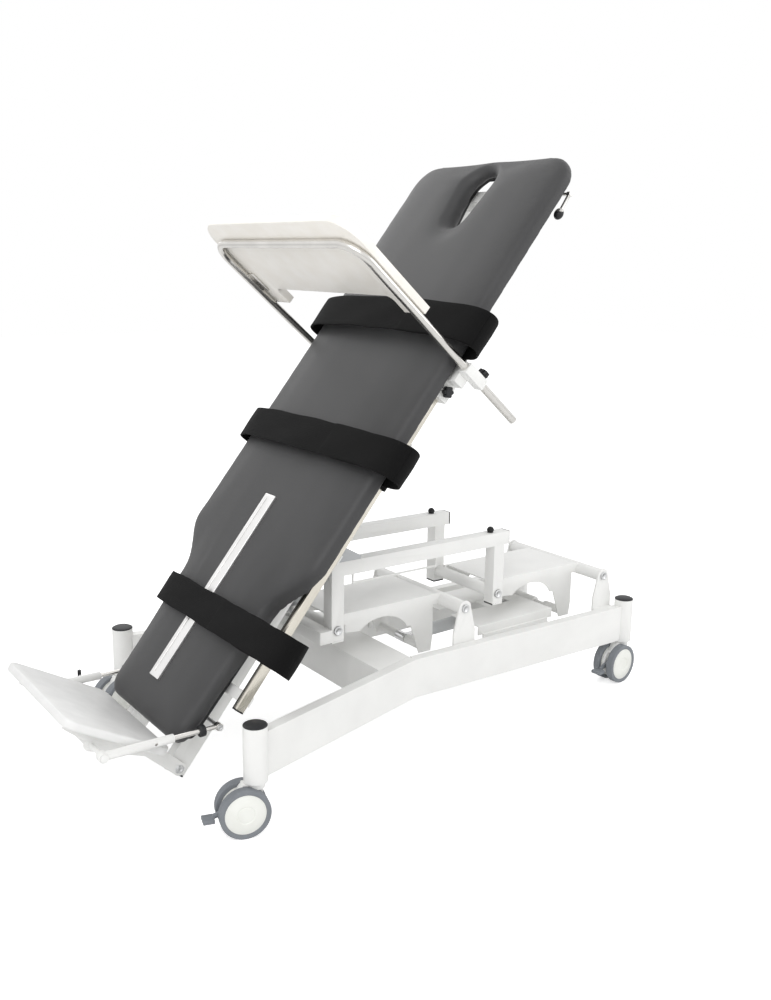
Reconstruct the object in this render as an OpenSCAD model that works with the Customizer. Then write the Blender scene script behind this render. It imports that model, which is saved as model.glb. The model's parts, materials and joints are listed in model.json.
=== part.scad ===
// Physiotherapy tilt table: splayed base on four swivel casters, a parallel-arm
// lift frame, and a padded top that tilts on the foot end of the lift frame.
// Millimetres. X runs from foot to head, Y to the far side, Z up, floor at 0.

/* [Base] */
// Place of the bend in the side rails along the length
bend_x = 47; // [0:1:100]
// Length of the splayed rails, from the bend to the foot posts
foot_run = 599; // [500:1:700]
// Length of the straight rails, from the bend to the head posts
head_run = 864; // [700:1:1000]
// Half distance between the foot posts
foot_post_y = 400; // [340:1:460]
// Half distance between the head posts
head_post_y = 246; // [235:1:300]
// Half distance between the rail centres at the bend
bend_y = 231; // [215:1:260]
// Height of the rail tube
rail_h = 116; // [80:1:140]
// Width of the rail tube
rail_w = 32; // [24:1:44]
// Height of the rail underside over the floor
rail_z = 136; // [125:1:170]
// Wall of the base tubes
base_wall = 3; // [2:0.5:5]
// Diameter of the corner posts
post_d = 60; // [50:1:70]
// Height of the post ends over the rail
post_rise = 20; // [10:1:40]
// Width of the cross beam at the bend
bend_beam_w = 132; // [80:1:160]
// Width of the cross beam at the head end
head_beam_w = 70; // [50:1:100]

/* [Casters] */
// Wheel diameter
wheel_d = 125; // [100:1:130]
// Width of one wheel
wheel_w = 23; // [18:1:28]
// Distance between the two wheels of a caster
wheel_gauge = 50; // [46:1:60]
// Distance from the swivel axis back to the wheel axle
caster_trail = 33; // [20:1:40]
// Angle of the foot end casters
foot_caster_angle = 16; // [-30:1:30]
// Angle of the head end casters
head_caster_angle = 6; // [-30:1:30]

/* [Lift] */
// Length of the lifting arms between their pivots
arm_l = 413; // [360:1:440]
// Distance between the foot arm and the head arm
arm_pitch = 587; // [520:1:640]
// Place of the foot arm's pivot, from the bend
arm_pivot_run = 205; // [180:1:230]
// Height of the arm pivots
arm_pivot_z = 355; // [345:1:380]
// Diameter of the arms' pivot tubes
arm_tube_d = 40; // [36:1:44]
// Half width of the arm plate
arm_half_w = 111; // [90:1:115]
// Length of the crank on each arm
crank_l = 154; // [140:1:160]
// Angle of the crank from the head direction
crank_angle = 245; // [240:1:250]
// Diameter of the pivot bolts
pivot_d = 16; // [12:1:18]
// Side of the square tubes of the lift frame
frame_tube = 40; // [36:1:44]
// Half width of the lift frame over its tubes
frame_half_w = 163; // [160:1:180]
// Height of the beam tops at rest
beam_top = 548; // [540:1:580]

/* [Tilt] */
// Angle of the top from the horizontal at rest
table_angle = 51.1; // [45:0.1:55]
// Distance of the tilt pivot beyond the foot end of the lift frame
tilt_overhang = 17; // [10:1:25]
// Height of the tilt pivot at rest
tilt_z = 600; // [595:1:610]
// Distance of both actuator pins from the tilt pivot
tilt_reach = 215; // [205:1:225]
// Angle of the lower actuator pin, seen from the tilt pivot
tilt_low_angle = -92.7; // [-95:0.1:-90]
// Angle between both actuator pins with the top horizontal
tilt_fold_angle = 72; // [70:1:76]

/* [Top] */
// Pad length on the head side of the tilt pivot
pad_head_l = 1248; // [1150:1:1300]
// Pad length on the foot side of the tilt pivot
pad_foot_l = 634; // [600:1:660]
// Half width of the pad at the trunk
pad_half_w = 338; // [300:1:350]
// Half width of the pad at the start of the legs
leg_half_w = 238; // [225:1:250]
// Half width of the pad at the foot end
foot_half_w = 218; // [205:1:235]
// Pad thickness
pad_t = 50; // [40:1:65]
// Rise of the crowned pad over its edge
pad_crown = 8; // [4:1:14]
// Thickness of the board under the pad
board_t = 18; // [12:1:22]
// Height of the frame's long tubes
long_h = 61; // [50:1:64]
// Width of the frame's long tubes
long_w = 30; // [25:1:34]
// Half distance between the long tubes' centres
long_y = 138; // [136:1:140]
// Width of the side rails
side_rail_w = 20; // [16:1:22]
// Height of the side rails
side_rail_h = 25; // [20:1:30]
// Half distance between the side rails' centres
side_rail_y = 272; // [268:1:276]
// Length of the face opening
face_l = 205; // [180:1:230]
// Width of the face opening at its wide end
face_w = 104; // [90:1:120]
// Length of the leg divider track
track_l = 570; // [480:1:590]
// Width of the leg divider track
track_w = 50; // [40:1:56]

/* [Straps] */
// Width of the chest strap
chest_strap_w = 104; // [80:1:120]
// Width of the middle strap
mid_strap_w = 96; // [80:1:120]
// Width of the ankle strap
ankle_strap_w = 88; // [70:1:110]
// Thickness of the straps
strap_t = 6; // [4:0.5:8]

/* [Tray] */
// Width of the tray across the table
tray_w = 730; // [700:1:760]
// Depth of the tray along its arms
tray_l = 330; // [300:1:360]
// Thickness of the tray
tray_t = 22; // [18:1:26]
// Depth of the body cut-out in the tray
tray_cut = 62; // [30:1:90]
// Half distance between the arms
tray_arm_y = 355; // [355:1:362]
// Reach of the arms from their pivot to the front tube
tray_reach = 488; // [440:1:520]
// Length of the arms behind their pivot
tray_tail = 208; // [150:1:230]
// Place of the arms' pivot on the side rail, from the tilt pivot
tray_run = 560; // [480:1:600]
// Angle of the arms from the pad's face
tray_angle = 88; // [80:1:95]
// Diameter of the arm tube
tray_tube_d = 22; // [18:1:26]

/* [Footboard] */
// Width of the footboard
footboard_w = 440; // [380:1:460]
// Depth of the footboard
footboard_l = 295; // [250:1:320]
// Thickness of the footboard
footboard_t = 22; // [18:1:28]
// Lean of the footboard from the pad's normal
footboard_angle = 9; // [0:1:15]

/* [Hidden] */
$fn = 48;

// Overrun of every cut, and the gap between parts that touch but move apart
over = 1;
seat_gap = 0.3;
// Radial play of a pin in its bore
play = 0.05;
// Side play beside a turning part
side_play = 1;

white = "whitesmoke";
dark = "#303236";
steel = "#b9bcc0";

// Mirrors a part that lies on the near side to the far side as well
module both_sides() { children(); mirror([0, 1, 0]) children(); }
// A cylinder along Y between two places
module rod_y(d, y0, y1) { translate([0, y0, 0]) rotate([-90, 0, 0]) cylinder(d = d, h = y1 - y0); }
// A block from its lowest to its highest corner
module block(a, b) { translate(a) cube(b - a); }
// A rectangular tube along X with open ends
module tube_x(l, w, h, wall) {
  difference() {
    translate([0, -w / 2, 0]) cube([l, w, h]);
    translate([-over, wall - w / 2, wall]) cube([l + 2 * over, w - 2 * wall, h - 2 * wall]);
  }
}
// A bolt along Y: shank with a round head at its near end and a nut at its far end
bolt_head_share = 1.6;
bolt_height_share = 0.32;
module head_y(d, y) { rod_y(d * bolt_head_share, y - d * bolt_height_share, y); }
module bolt_y(d, y0, y1) {
  rod_y(d, y0, y1);
  head_y(d, y0);
  head_y(d, y1 + d * bolt_height_share);
}

// Base
rail_top = rail_z + rail_h;
post_x = [bend_x - foot_run, bend_x + head_run];
post_half = [foot_post_y, head_post_y];
post_drop = 6;
post_bottom = rail_z - post_drop;
post_top = rail_top + post_rise;
post_wall = 4;
post_floor = 14;
stem_d = 14;
cap_rim_h = 5;
cap_dome_h = 3;
splay = atan2(foot_post_y - bend_y, foot_run);
spread = atan2(head_post_y - bend_y, head_run);

// One rail in plan, mitred at the bend, from the foot post to the head post
module rail_plan(w) {
  for (leg = [[0, splay], [1, spread]]) {
    a = [bend_x, -bend_y];
    b = [post_x[leg[0]], -post_half[leg[0]]];
    dir = (b - a) / norm(b - a);
    side = [-dir[1], dir[0]] * w / 2;
    m = w / 2 * tan((splay + spread) / 2) * (leg[0] == 0 ? 1 : -1);
    polygon([a + side - dir * m * sign(side[1]), a - side + dir * m * sign(side[1]), b - side, b + side]);
  }
}
// The floor plan between the rails' inner faces
function rail_inner_y(x) = (x < bend_x
  ? bend_y + (bend_x - x) * tan(splay) - rail_w / 2 / cos(splay)
  : bend_y + (x - bend_x) * tan(spread) - rail_w / 2 / cos(spread)) - seat_gap;
module between_rails() {
  xs = [post_x[0], bend_x - over, bend_x + over, post_x[1]];
  translate([0, 0, -over]) linear_extrude(beam_top) polygon(concat([for (x = xs) [x, -rail_inner_y(x)]],
    [for (i = [0:3]) [xs[3 - i], rail_inner_y(xs[3 - i])]]));
}
module base_rails() {
  color(white) both_sides() difference() {
    translate([0, 0, rail_z]) linear_extrude(rail_h) rail_plan(rail_w);
    translate([0, 0, rail_z + base_wall]) linear_extrude(rail_h - 2 * base_wall) rail_plan(rail_w - 2 * base_wall);
    for (i = [0, 1]) translate([post_x[i], -post_half[i], rail_z - over])
      cylinder(d = post_d + seat_gap, h = rail_h + 2 * over);
  }
}
module base_posts() {
  color(white) both_sides() for (i = [0, 1]) translate([post_x[i], -post_half[i], post_bottom]) difference() {
    cylinder(d = post_d, h = post_top - post_bottom);
    translate([0, 0, post_floor]) cylinder(d = post_d - 2 * post_wall, h = post_top - post_bottom);
    translate([0, 0, -over]) cylinder(d = stem_d + 2 * play, h = post_floor + 2 * over);
  }
}
module post_caps() {
  color(dark) both_sides() for (i = [0, 1]) translate([post_x[i], -post_half[i], post_top]) {
    cylinder(d = post_d, h = cap_rim_h - cap_dome_h);
    translate([0, 0, cap_rim_h - cap_dome_h]) cylinder(d1 = post_d, d2 = post_d - 4 * cap_dome_h, h = cap_dome_h);
    translate([0, 0, -2 * cap_rim_h]) cylinder(d = post_d - 2 * post_wall - 2 * play, h = 2 * cap_rim_h);
  }
}

// Pivots of the lifting arms, in the X and Z plane
arm_pivots = [bend_x + arm_pivot_run, bend_x + arm_pivot_run + arm_pitch];
leg_pivots = [for (x = arm_pivots) x - arm_l];
bracket_t = 6;
bracket_foot_w = 82;
bracket_head_w = 46;
bracket_drop = 70;
bracket_skirt = 110;
rail_inner = bend_y - rail_w / 2;

// The lift motor hangs between the arms: its fixed pin and the crank's pin
crank_pin = [crank_l * cos(crank_angle), crank_l * sin(crank_angle)];
lift_anchor_run = 372;
lift_anchor_x = arm_pivots[0] + lift_anchor_run;
lift_anchor_z = 226;
motor_pin_d = 12;
lug_t = 8;
lug_y = 24;

lug_reach = 40;
lug_back = 20;
lug_front = 70;
lug_rise = 20;
beam_h = 44;
head_beam_x = lift_anchor_x + lug_reach;
module base_cross_beams() {
  color(white) intersection() {
    between_rails();
    cross_beams();
  }
}
module cross_beams() {
  difference() {
    block([bend_x - bend_beam_w, -foot_post_y, rail_z + seat_gap], [bend_x, foot_post_y, rail_top]);
    block([bend_x - bend_beam_w + base_wall, -foot_post_y - over, rail_z + base_wall + seat_gap],
      [bend_x - base_wall, foot_post_y + over, rail_top - base_wall]);
  }
  // The beam that carries the lift motor, with the motor's two lugs
  difference() {
    union() {
      block([head_beam_x, -foot_post_y, rail_z + seat_gap],
        [head_beam_x + head_beam_w, foot_post_y, rail_z + beam_h]);
      both_sides() block([lift_anchor_x - lug_back, -lug_y - lug_t, rail_z + beam_h / 2],
        [lift_anchor_x + lug_front, -lug_y, lift_anchor_z + lug_rise]);
    }
    block([head_beam_x + base_wall, -foot_post_y - over, rail_z + base_wall + seat_gap],
      [head_beam_x + head_beam_w - base_wall, foot_post_y + over, rail_z + beam_h - base_wall]);
    translate([lift_anchor_x, 0, lift_anchor_z])
      rod_y(motor_pin_d + 2 * play, -lug_y - lug_t - over, lug_y + lug_t + over);
  }
}
// A plate with a round top and a wide foot, in the X and Z plane, thickness t towards the far side
module bracket_plate(foot_w, head_w, drop, t, bore) {
  rotate([90, 0, 0]) translate([0, 0, -t]) difference() {
    linear_extrude(t) {
      circle(d = head_w);
      polygon([[-head_w / 2, 0], [head_w / 2, 0], [foot_w / 2, -drop], [foot_w / 2, -drop - bracket_skirt],
        [-foot_w / 2, -drop - bracket_skirt], [-foot_w / 2, -drop]]);
    }
    translate([0, 0, -over]) cylinder(d = bore, h = t + 2 * over);
  }
}
module pivot_brackets() {
  color(white) both_sides() for (x = arm_pivots) {
    translate([x, -rail_inner + seat_gap, arm_pivot_z])
      bracket_plate(bracket_foot_w, bracket_head_w, bracket_drop, bracket_t, pivot_d + 2 * play);
    // The welded pad between the plate and the rail
    intersection() {
      between_rails();
      block([x - bracket_foot_w / 2, -foot_post_y, arm_pivot_z - bracket_drop - bracket_skirt],
        [x + bracket_foot_w / 2, -rail_inner + bracket_t, rail_top - base_wall]);
    }
  }
}
arm_end = rail_inner - bracket_t - seat_gap - side_play;
module base_bolts() {
  color(steel) {
    for (x = arm_pivots) translate([x, 0, arm_pivot_z]) bolt_y(pivot_d, -rail_inner, rail_inner);
    translate([lift_anchor_x, 0, lift_anchor_z]) bolt_y(motor_pin_d, -lug_y - lug_t, lug_y + lug_t);
  }
}
// Raised cover over the lift motor, with a flange between the rails and a slot for the head arm's crank
cover_top = 262;
cover_t = 3;
cover_slot = 56;
cover_start = 102;
cover_stop = 172;
cover_half_w = 160;
cover_inset = 20;
cover_skirt = 30;
cover_drop = 60;
module lift_cover() {
  x0 = arm_pivots[0] + cover_start;
  x1 = arm_pivots[1] - cover_stop;
  w = cover_half_w;
  flange = cover_top - cover_drop;
  color(white) difference() {
    union() {
      block([x0, -w, cover_top - cover_skirt], [x1, w, cover_top]);
      intersection() {
        between_rails();
        both_sides() block([x0 + cover_inset, -foot_post_y, flange],
          [x1 - cover_inset, -w + cover_t, cover_top - cover_skirt + cover_t]);
      }
    }
    block([x0 - over, -w + cover_t, flange - over], [x1 + over, w - cover_t, cover_top - cover_t]);
    both_sides() block([x0, -foot_post_y - over, flange + cover_t],
      [x1, -w - cover_t, cover_top - cover_skirt + 2 * cover_t]);
    block([x0 - over, -cover_slot / 2, cover_top - 2 * cover_t],
      [lift_anchor_x - lug_rise, cover_slot / 2, cover_top + over]);
  }
}

// Lifting arms: a folded channel with arched skirts, welded to a tube at each end
arm_plate_z = 22;
arm_plate_t = 4;
arm_bore = pivot_d + 2 * play;
leg_tube_d = 36;
crank_boss_d = 28;
leg_inner = frame_half_w - frame_tube;
leg_end = leg_inner - side_play;
skirt_start = 38;
skirt_end = 60;
skirt_depth = 110;
skirt_tail = 34;
skirt_elbow = 60;
elbow_share = 0.29;
crank_pad = [22, 14];
arch_r = 62;
arch_drop = 74;
arch_share = 0.545;
arch_stretch_share = 1.5;
module skirt() {
  rotate([90, 0, 0]) linear_extrude(arm_plate_t) difference() {
    polygon([[-arm_l + skirt_end, arm_plate_z], [-skirt_start, arm_plate_z],
      [-skirt_start + side_play, -skirt_depth], [crank_pin[0] + crank_pad[0], crank_pin[1] - crank_pad[1]], crank_pin - crank_pad,
      [-arm_l * elbow_share, -skirt_elbow], [-arm_l + skirt_end, -skirt_tail]]);
    translate([-arm_l * arch_share, -arch_drop]) scale([arch_stretch_share, 1]) circle(r = arch_r);
  }
}
module arm() {
  color(white) difference() {
    union() {
      block([-arm_l + arm_tube_d / 2, -arm_half_w, arm_plate_z - arm_plate_t],
        [-arm_tube_d * 2 / 3, arm_half_w, arm_plate_z]);
      both_sides() translate([0, -arm_half_w + arm_plate_t, 0]) skirt();
      rod_y(arm_tube_d, -arm_end, arm_end);
      translate([-arm_l, 0, 0]) rod_y(leg_tube_d, -leg_end, leg_end);
      // Blocks that join the plate and the skirts to both tubes
      both_sides() block([-arm_tube_d, -arm_half_w, -arm_tube_d / 4],
        [-arm_tube_d / 4, -arm_half_w + 2 * arm_plate_t, arm_plate_z]);
      both_sides() block([-arm_l + 2 * arm_plate_t, -arm_half_w, -arm_tube_d / 4],
        [-arm_l + skirt_end * 3 / 2, -arm_half_w + 2 * arm_plate_t, arm_plate_z]);
      translate([crank_pin[0], 0, crank_pin[1]]) {
        both_sides() rod_y(crank_boss_d, -arm_half_w, -lug_y);
        rod_y(motor_pin_d, -arm_half_w, arm_half_w);
      }
    }
    rod_y(arm_bore, -arm_end - over, arm_end + over);
    translate([-arm_l, 0, 0]) rod_y(arm_bore, -leg_end - over, leg_end + over);
  }
}
module arm_head() { translate([arm_pivots[1], 0, arm_pivot_z]) arm(); }
module arm_foot() { translate([arm_pivots[0], 0, arm_pivot_z]) arm(); }

// Lift frame: two bent side frames on the arms
leg_foot = 30;
leg_bottom = arm_pivot_z - leg_foot;
beam_overhang = 17;
cap_t = 5;
frame_wall = 3;
beam_y = frame_half_w - frame_tube / 2;
beam_x0 = leg_pivots[0] - frame_tube / 2;
beam_x1 = leg_pivots[1] + frame_tube / 2 + beam_overhang;
module lift_frame_sides() {
  color(white) both_sides() difference() {
    union() {
      block([beam_x0, -frame_half_w, beam_top - frame_tube], [beam_x1, -leg_inner, beam_top]);
      for (x = leg_pivots) block([x - frame_tube / 2, -frame_half_w, leg_bottom],
        [x + frame_tube / 2, -leg_inner, beam_top - frame_tube]);
    }
    block([beam_x0 + frame_wall, -frame_half_w + frame_wall, beam_top - frame_tube + frame_wall],
      [beam_x1 + over, -leg_inner - frame_wall, beam_top - frame_wall]);
    for (x = leg_pivots) {
      block([x - frame_tube / 2 + frame_wall, -frame_half_w + frame_wall, leg_bottom - over],
        [x + frame_tube / 2 - frame_wall, -leg_inner - frame_wall, beam_top - frame_tube - over]);
      translate([x, 0, arm_pivot_z]) rod_y(pivot_d + 2 * play, -frame_half_w - over, -leg_inner + over);
    }
  }
}
tilt_x = beam_x0 - tilt_overhang;
tilt_pin_d = 16;
low_pin = [tilt_x + tilt_reach * cos(tilt_low_angle), tilt_z + tilt_reach * sin(tilt_low_angle)];
cross_h = 36;
cross_x1 = beam_x0;
cross_x0 = cross_x1 - frame_tube;
lug_half_w = 16;
lug_head = 14;
cross_z1 = leg_bottom + cross_h + seat_gap;
module lift_frame_cross() {
  color(white) difference() {
    union() {
      block([cross_x0, -frame_half_w, cross_z1 - cross_h], [cross_x1, frame_half_w, cross_z1]);
      both_sides() block([low_pin[0] - lug_half_w, -lug_y - lug_t, cross_z1],
        [low_pin[0] + lug_half_w, -lug_y, low_pin[1] + lug_head]);
    }
    block([cross_x0 + frame_wall, -frame_half_w - over, cross_z1 - cross_h + frame_wall],
      [cross_x1 - frame_wall, frame_half_w + over, cross_z1 - frame_wall]);
    translate([low_pin[0], 0, low_pin[1]]) rod_y(motor_pin_d + 2 * play, -lug_y - lug_t - over, lug_y + lug_t + over);
  }
}
module lift_frame_caps() {
  color("#1d1e20") both_sides() {
    block([beam_x1, -frame_half_w, beam_top - frame_tube], [beam_x1 + cap_t, -leg_inner, beam_top]);
    for (x = leg_pivots) block([x - frame_tube / 2, -frame_half_w, leg_bottom - cap_t],
      [x + frame_tube / 2, -leg_inner, leg_bottom]);
    block([cross_x0, -frame_half_w - cap_t, cross_z1 - cross_h], [cross_x1, -frame_half_w, cross_z1]);
  }
}
buffer_run = 22;
buffer_x = leg_pivots[1] - buffer_run;
buffer_core_d = 18;
buffer_d = 22;
buffer_h = 18;
module rubber_buffers() {
  color("#18181a") both_sides() translate([buffer_x, -beam_y, beam_top]) {
    cylinder(d = buffer_core_d, h = buffer_h / 2);
    translate([0, 0, buffer_h / 3]) rotate_extrude() intersection() {
      scale([1, (buffer_h * 4 / 3) / buffer_d]) circle(d = buffer_d);
      square([buffer_d, buffer_h * 2 / 3]);
    }
  }
}
// Grey brackets that carry the tilt pivot on the beams
tilt_plate_t = 6;
tilt_plate_y = [frame_half_w, long_y - long_w / 2 - side_play];
tilt_boss_d = 44;
tilt_toe = 10;
tilt_shoulder = [18, 12];
tilt_foot_l = 96;
module tilt_plate() {
  foot_x = beam_x0 - tilt_x;
  foot_z = beam_top - tilt_z;
  rotate([90, 0, 0]) linear_extrude(tilt_plate_t) difference() {
    union() {
      circle(d = tilt_boss_d);
      polygon([[-tilt_boss_d / 2, 0], [-tilt_toe, -2 * tilt_toe], [foot_x, foot_z + tilt_plate_t], [foot_x, foot_z],
        [foot_x + tilt_foot_l, foot_z], [foot_x + tilt_foot_l, foot_z + tilt_toe], tilt_shoulder]);
    }
    circle(d = tilt_pin_d + 2 * play);
  }
}
module tilt_brackets() {
  color("#6d7176") both_sides() {
    for (y = tilt_plate_y) translate([tilt_x, -y + tilt_plate_t, tilt_z]) tilt_plate();
    block([beam_x0, -frame_half_w, beam_top],
      [beam_x0 + tilt_foot_l, -long_y + long_w / 2 + side_play + tilt_plate_t, beam_top + tilt_plate_t]);
  }
}
module frame_bolts() {
  color(steel) {
    for (x = leg_pivots) translate([x, 0, arm_pivot_z]) bolt_y(pivot_d, -frame_half_w, frame_half_w);
    both_sides() translate([tilt_x, 0, tilt_z]) {
      rod_y(tilt_pin_d, -frame_half_w, tilt_plate_t - tilt_plate_y[1]);
      head_y(tilt_pin_d, -frame_half_w);
    }
    translate([low_pin[0], 0, low_pin[1]]) bolt_y(motor_pin_d, -lug_y - lug_t, lug_y + lug_t);
  }
}
// Bent wire under the near beam that holds the hand control's lead
wire_d = 6;
wire_start = 98;
wire_run = 296;
wire_drop = 40;
module hanger_wire() {
  x0 = beam_x0 + wire_start;
  z = beam_top - frame_tube - wire_drop;
  y = -leg_inner + wire_d / 2 + seat_gap;
  color(white) {
    translate([x0, y, z]) rotate([0, 90, 0]) cylinder(d = wire_d, h = wire_run);
    for (x = [x0, x0 + wire_run]) translate([x, y, z]) {
      translate([0, 0, -wire_d / 2]) cylinder(d = wire_d + 2 * play, h = wire_drop + frame_tube / 2);
    }
  }
}

// Actuators: a motor with an outer tube on one pin, a rod on the other
motor_d = 44;
motor_neck_d = 34;
motor_start_share = 0.6;
outer_d = 32;
outer_wall = 3;
bore_d = 22;
rod_d = 20;
eye_d = 30;
eye_w = 2 * (lug_y - side_play);
// The motor, its gear housing and outer tube lie along X from the pin at the origin
module actuator_body(l, bore) {
  color("#8f9398") difference() {
    union() {
      rod_y(eye_d, -eye_w / 2, eye_w / 2);
      rotate([0, 90, 0]) cylinder(d = motor_neck_d, h = eye_d);
      translate([eye_d * motor_start_share, 0, 0]) rotate([0, 90, 0]) cylinder(d = motor_d, h = eye_d * 2);
      rotate([0, 90, 0]) cylinder(d = max(outer_d, bore + 2 * outer_wall), h = l);
    }
    rod_y(motor_pin_d + 2 * play, -eye_w, eye_w);
    translate([eye_d, 0, 0]) rotate([0, 90, 0]) cylinder(d = bore, h = l);
  }
}
module actuator_rod(l) {
  color(steel) difference() {
    union() {
      rod_y(eye_d, -eye_w / 2, eye_w / 2);
      rotate([0, 90, 0]) cylinder(d = rod_d, h = l);
    }
    rod_y(motor_pin_d + 2 * play, -eye_w, eye_w);
  }
}
high_pin_angle = tilt_low_angle + tilt_fold_angle;
high_pin = tilt_reach * [cos(high_pin_angle), sin(high_pin_angle)];
high_pin_rest = [tilt_x + tilt_reach * cos(high_pin_angle + table_angle),
  tilt_z + tilt_reach * sin(high_pin_angle + table_angle)];
tilt_span = high_pin_rest - low_pin;
tilt_aim = atan2(tilt_span[1], tilt_span[0]);
tilt_body_share = 1.05;
tilt_rod_share = 0.98;
module tilt_motor() {
  translate([low_pin[0], 0, low_pin[1]]) rotate([0, -tilt_aim, 0])
    actuator_body(tilt_reach * tilt_body_share, bore_d);
}
module tilt_rod() {
  translate([high_pin_rest[0], 0, high_pin_rest[1]]) rotate([0, 180 - tilt_aim, 0])
    actuator_rod(tilt_reach * tilt_rod_share);
}
crank_rest = [arm_pivots[0] + crank_pin[0], arm_pivot_z + crank_pin[1]];
lift_anchor = [lift_anchor_x, lift_anchor_z];
lift_span = crank_rest - lift_anchor;
lift_aim = atan2(lift_span[1], lift_span[0]);
lift_bore_play = 7;
lift_body_share = 0.82;
lift_rod_share = 0.66;
module lift_motor() {
  translate([lift_anchor_x, 0, lift_anchor_z]) rotate([0, -lift_aim, 0])
    actuator_body(norm(lift_span) * lift_body_share, rod_d + 2 * lift_bore_play);
}
module lift_rod() {
  translate([crank_rest[0], 0, crank_rest[1]]) rotate([0, 180 - lift_aim, 0])
    actuator_rod(norm(lift_span) * lift_rod_share);
}

// The tilting top, in its own frame: X to the head, Z out of the pad, pivot at the origin
module on_top() { translate([tilt_x, 0, tilt_z]) rotate([0, -table_angle, 0]) children(); }
long_z0 = -10;
long_z1 = long_z0 + long_h;
board_z1 = long_z1 + board_t;
pad_z0 = board_z1;
pad_z1 = pad_z0 + pad_t;
foot_overhang = 58;
head_inset = 70;
long_foot = -(pad_foot_l + foot_overhang);
long_head = pad_head_l - head_inset;
long_wall = 2.5;
// Places along the top as shares of the pad's length on their side of the pivot
function along(shares) = [for (s = shares) s * (s < 0 ? pad_foot_l : pad_head_l)];
cross_w = 40;
cross_run_shares = [-0.946, -0.095, 0.264, 0.577, 0.912];
cross_runs = along(cross_run_shares);
foot_pin_run = 46;
foot_pin_h = 18;
foot_pin = [-(pad_foot_l + foot_pin_run), foot_pin_h];
foot_pin_d = 12;
brace_pin_run = 99;
brace_pin_h = 40;
brace_pin = [brace_pin_run - pad_foot_l, brace_pin_h];
brace_pin_d = 10;
lever_inset = 83;
lever_h = 36;
lever_at = [pad_head_l - lever_inset, lever_h];
lever_rod_d = 10;
tilt_sleeve_d = 26;
pin_sleeve_d = 20;
lever_sleeve_d = 18;
buffer_pad = 20;
module top_frame() {
  y0 = -long_y - long_w / 2;
  y1 = -long_y + long_w / 2;
  color(white) on_top() difference() {
    union() {
      both_sides() translate([long_foot, -long_y, long_z0])
        tube_x(long_head - long_foot, long_w, long_h, long_wall);
      for (u = cross_runs) block([u, y1, long_z1 - cross_w], [u + cross_w, -y1, long_z1 - seat_gap]);
      both_sides() rod_y(tilt_sleeve_d, y0, y1);
      both_sides() for (p = [foot_pin, brace_pin]) translate([p[0], 0, p[1]]) rod_y(pin_sleeve_d, y0, y1);
      translate([lever_at[0], 0, lever_at[1]]) rod_y(lever_sleeve_d, y0, y1);
      both_sides() block([buffer_x - tilt_x - buffer_pad, y0, beam_top + buffer_h - tilt_z + seat_gap],
        [buffer_x - tilt_x + buffer_pad, y1, long_z0]);
    }
    rod_y(tilt_pin_d + 2 * play, y0 - over, over - y0);
    translate([foot_pin[0], 0, foot_pin[1]]) rod_y(foot_pin_d + 2 * play, y0 - over, over - y0);
    translate([brace_pin[0], 0, brace_pin[1]]) rod_y(brace_pin_d + 2 * play, y0 - over, over - y0);
    translate([lever_at[0], 0, lever_at[1]]) rod_y(lever_rod_d + 2 * play, y0 - over, 0);
  }
}
// Plates under the frame that the tilt motor pushes on, with a tie tube at their lower end
lever_t = 8;
lever_start = 150;
lever_tie_w = 40;
lever_tie_t = 6;
lever_web = 26;
lever_boss_d = 40;
module tilt_lever() {
  x0 = cross_runs[1] + cross_w + lever_start;
  z0 = long_z1 - cross_w;
  toe = lever_boss_d / 10;
  color(white) on_top() difference() {
    union() {
      both_sides() translate([0, -lug_y, 0]) rotate([90, 0, 0]) linear_extrude(lever_t) {
        polygon([[x0, z0], [cross_runs[2], z0], high_pin + [lever_boss_d / 2, -toe],
          high_pin - [lever_boss_d / 2, toe]]);
        translate(high_pin) circle(d = lever_boss_d);
        translate([x0, z0]) square([cross_runs[2] - x0, lever_web]);
      }
      block([x0, -long_y + long_w / 2 + seat_gap, z0],
        [x0 + lever_tie_w, long_y - long_w / 2 - seat_gap, z0 + lever_tie_t]);
    }
    translate([high_pin[0], 0, high_pin[1]]) rod_y(motor_pin_d + 2 * play, -lug_y - 2 * lever_t, lug_y + 2 * lever_t);
  }
}

// Half width of the pad's outline at a place along it: legs, waist, trunk and round corners
waist_start = -240;
waist_end = -80;
head_corner = 95;
foot_corner = 55;
function smooth(t) = let (c = max(0, min(1, t))) c * c * (3 - 2 * c);
function edge_half_w(u) = u < waist_start
  ? foot_half_w + (leg_half_w - foot_half_w) * (u + pad_foot_l) / (waist_start + pad_foot_l)
  : leg_half_w + (pad_half_w - leg_half_w) * smooth((u - waist_start) / (waist_end - waist_start));
corner_steps = 6;
waist_steps = 9;
trunk_shares = [0.24, 0.56];
// The outline runs round the pad, near side from foot to head and back along the far side
function half_outline() = concat(
  [for (i = [0:corner_steps]) let (a = 90 * i / corner_steps)
    [-pad_foot_l + foot_corner * (1 - cos(a)),
      edge_half_w(-pad_foot_l + foot_corner) - foot_corner * (1 - sin(a))]],
  [for (i = [0:waist_steps]) let (u = waist_start + (waist_end - waist_start) * i / waist_steps)
    [u, edge_half_w(u)]],
  [for (s = trunk_shares) [s * pad_head_l, pad_half_w]],
  [for (i = [0:corner_steps]) let (a = 90 * i / corner_steps)
    [pad_head_l - head_corner * (1 - sin(a)), pad_half_w - head_corner * (1 - cos(a))]]);
function pad_outline() = let (h = half_outline(), n = len(h))
  concat([for (p = h) [p[0], -p[1]]], [for (i = [0:n - 1]) h[n - 1 - i]]);
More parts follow.
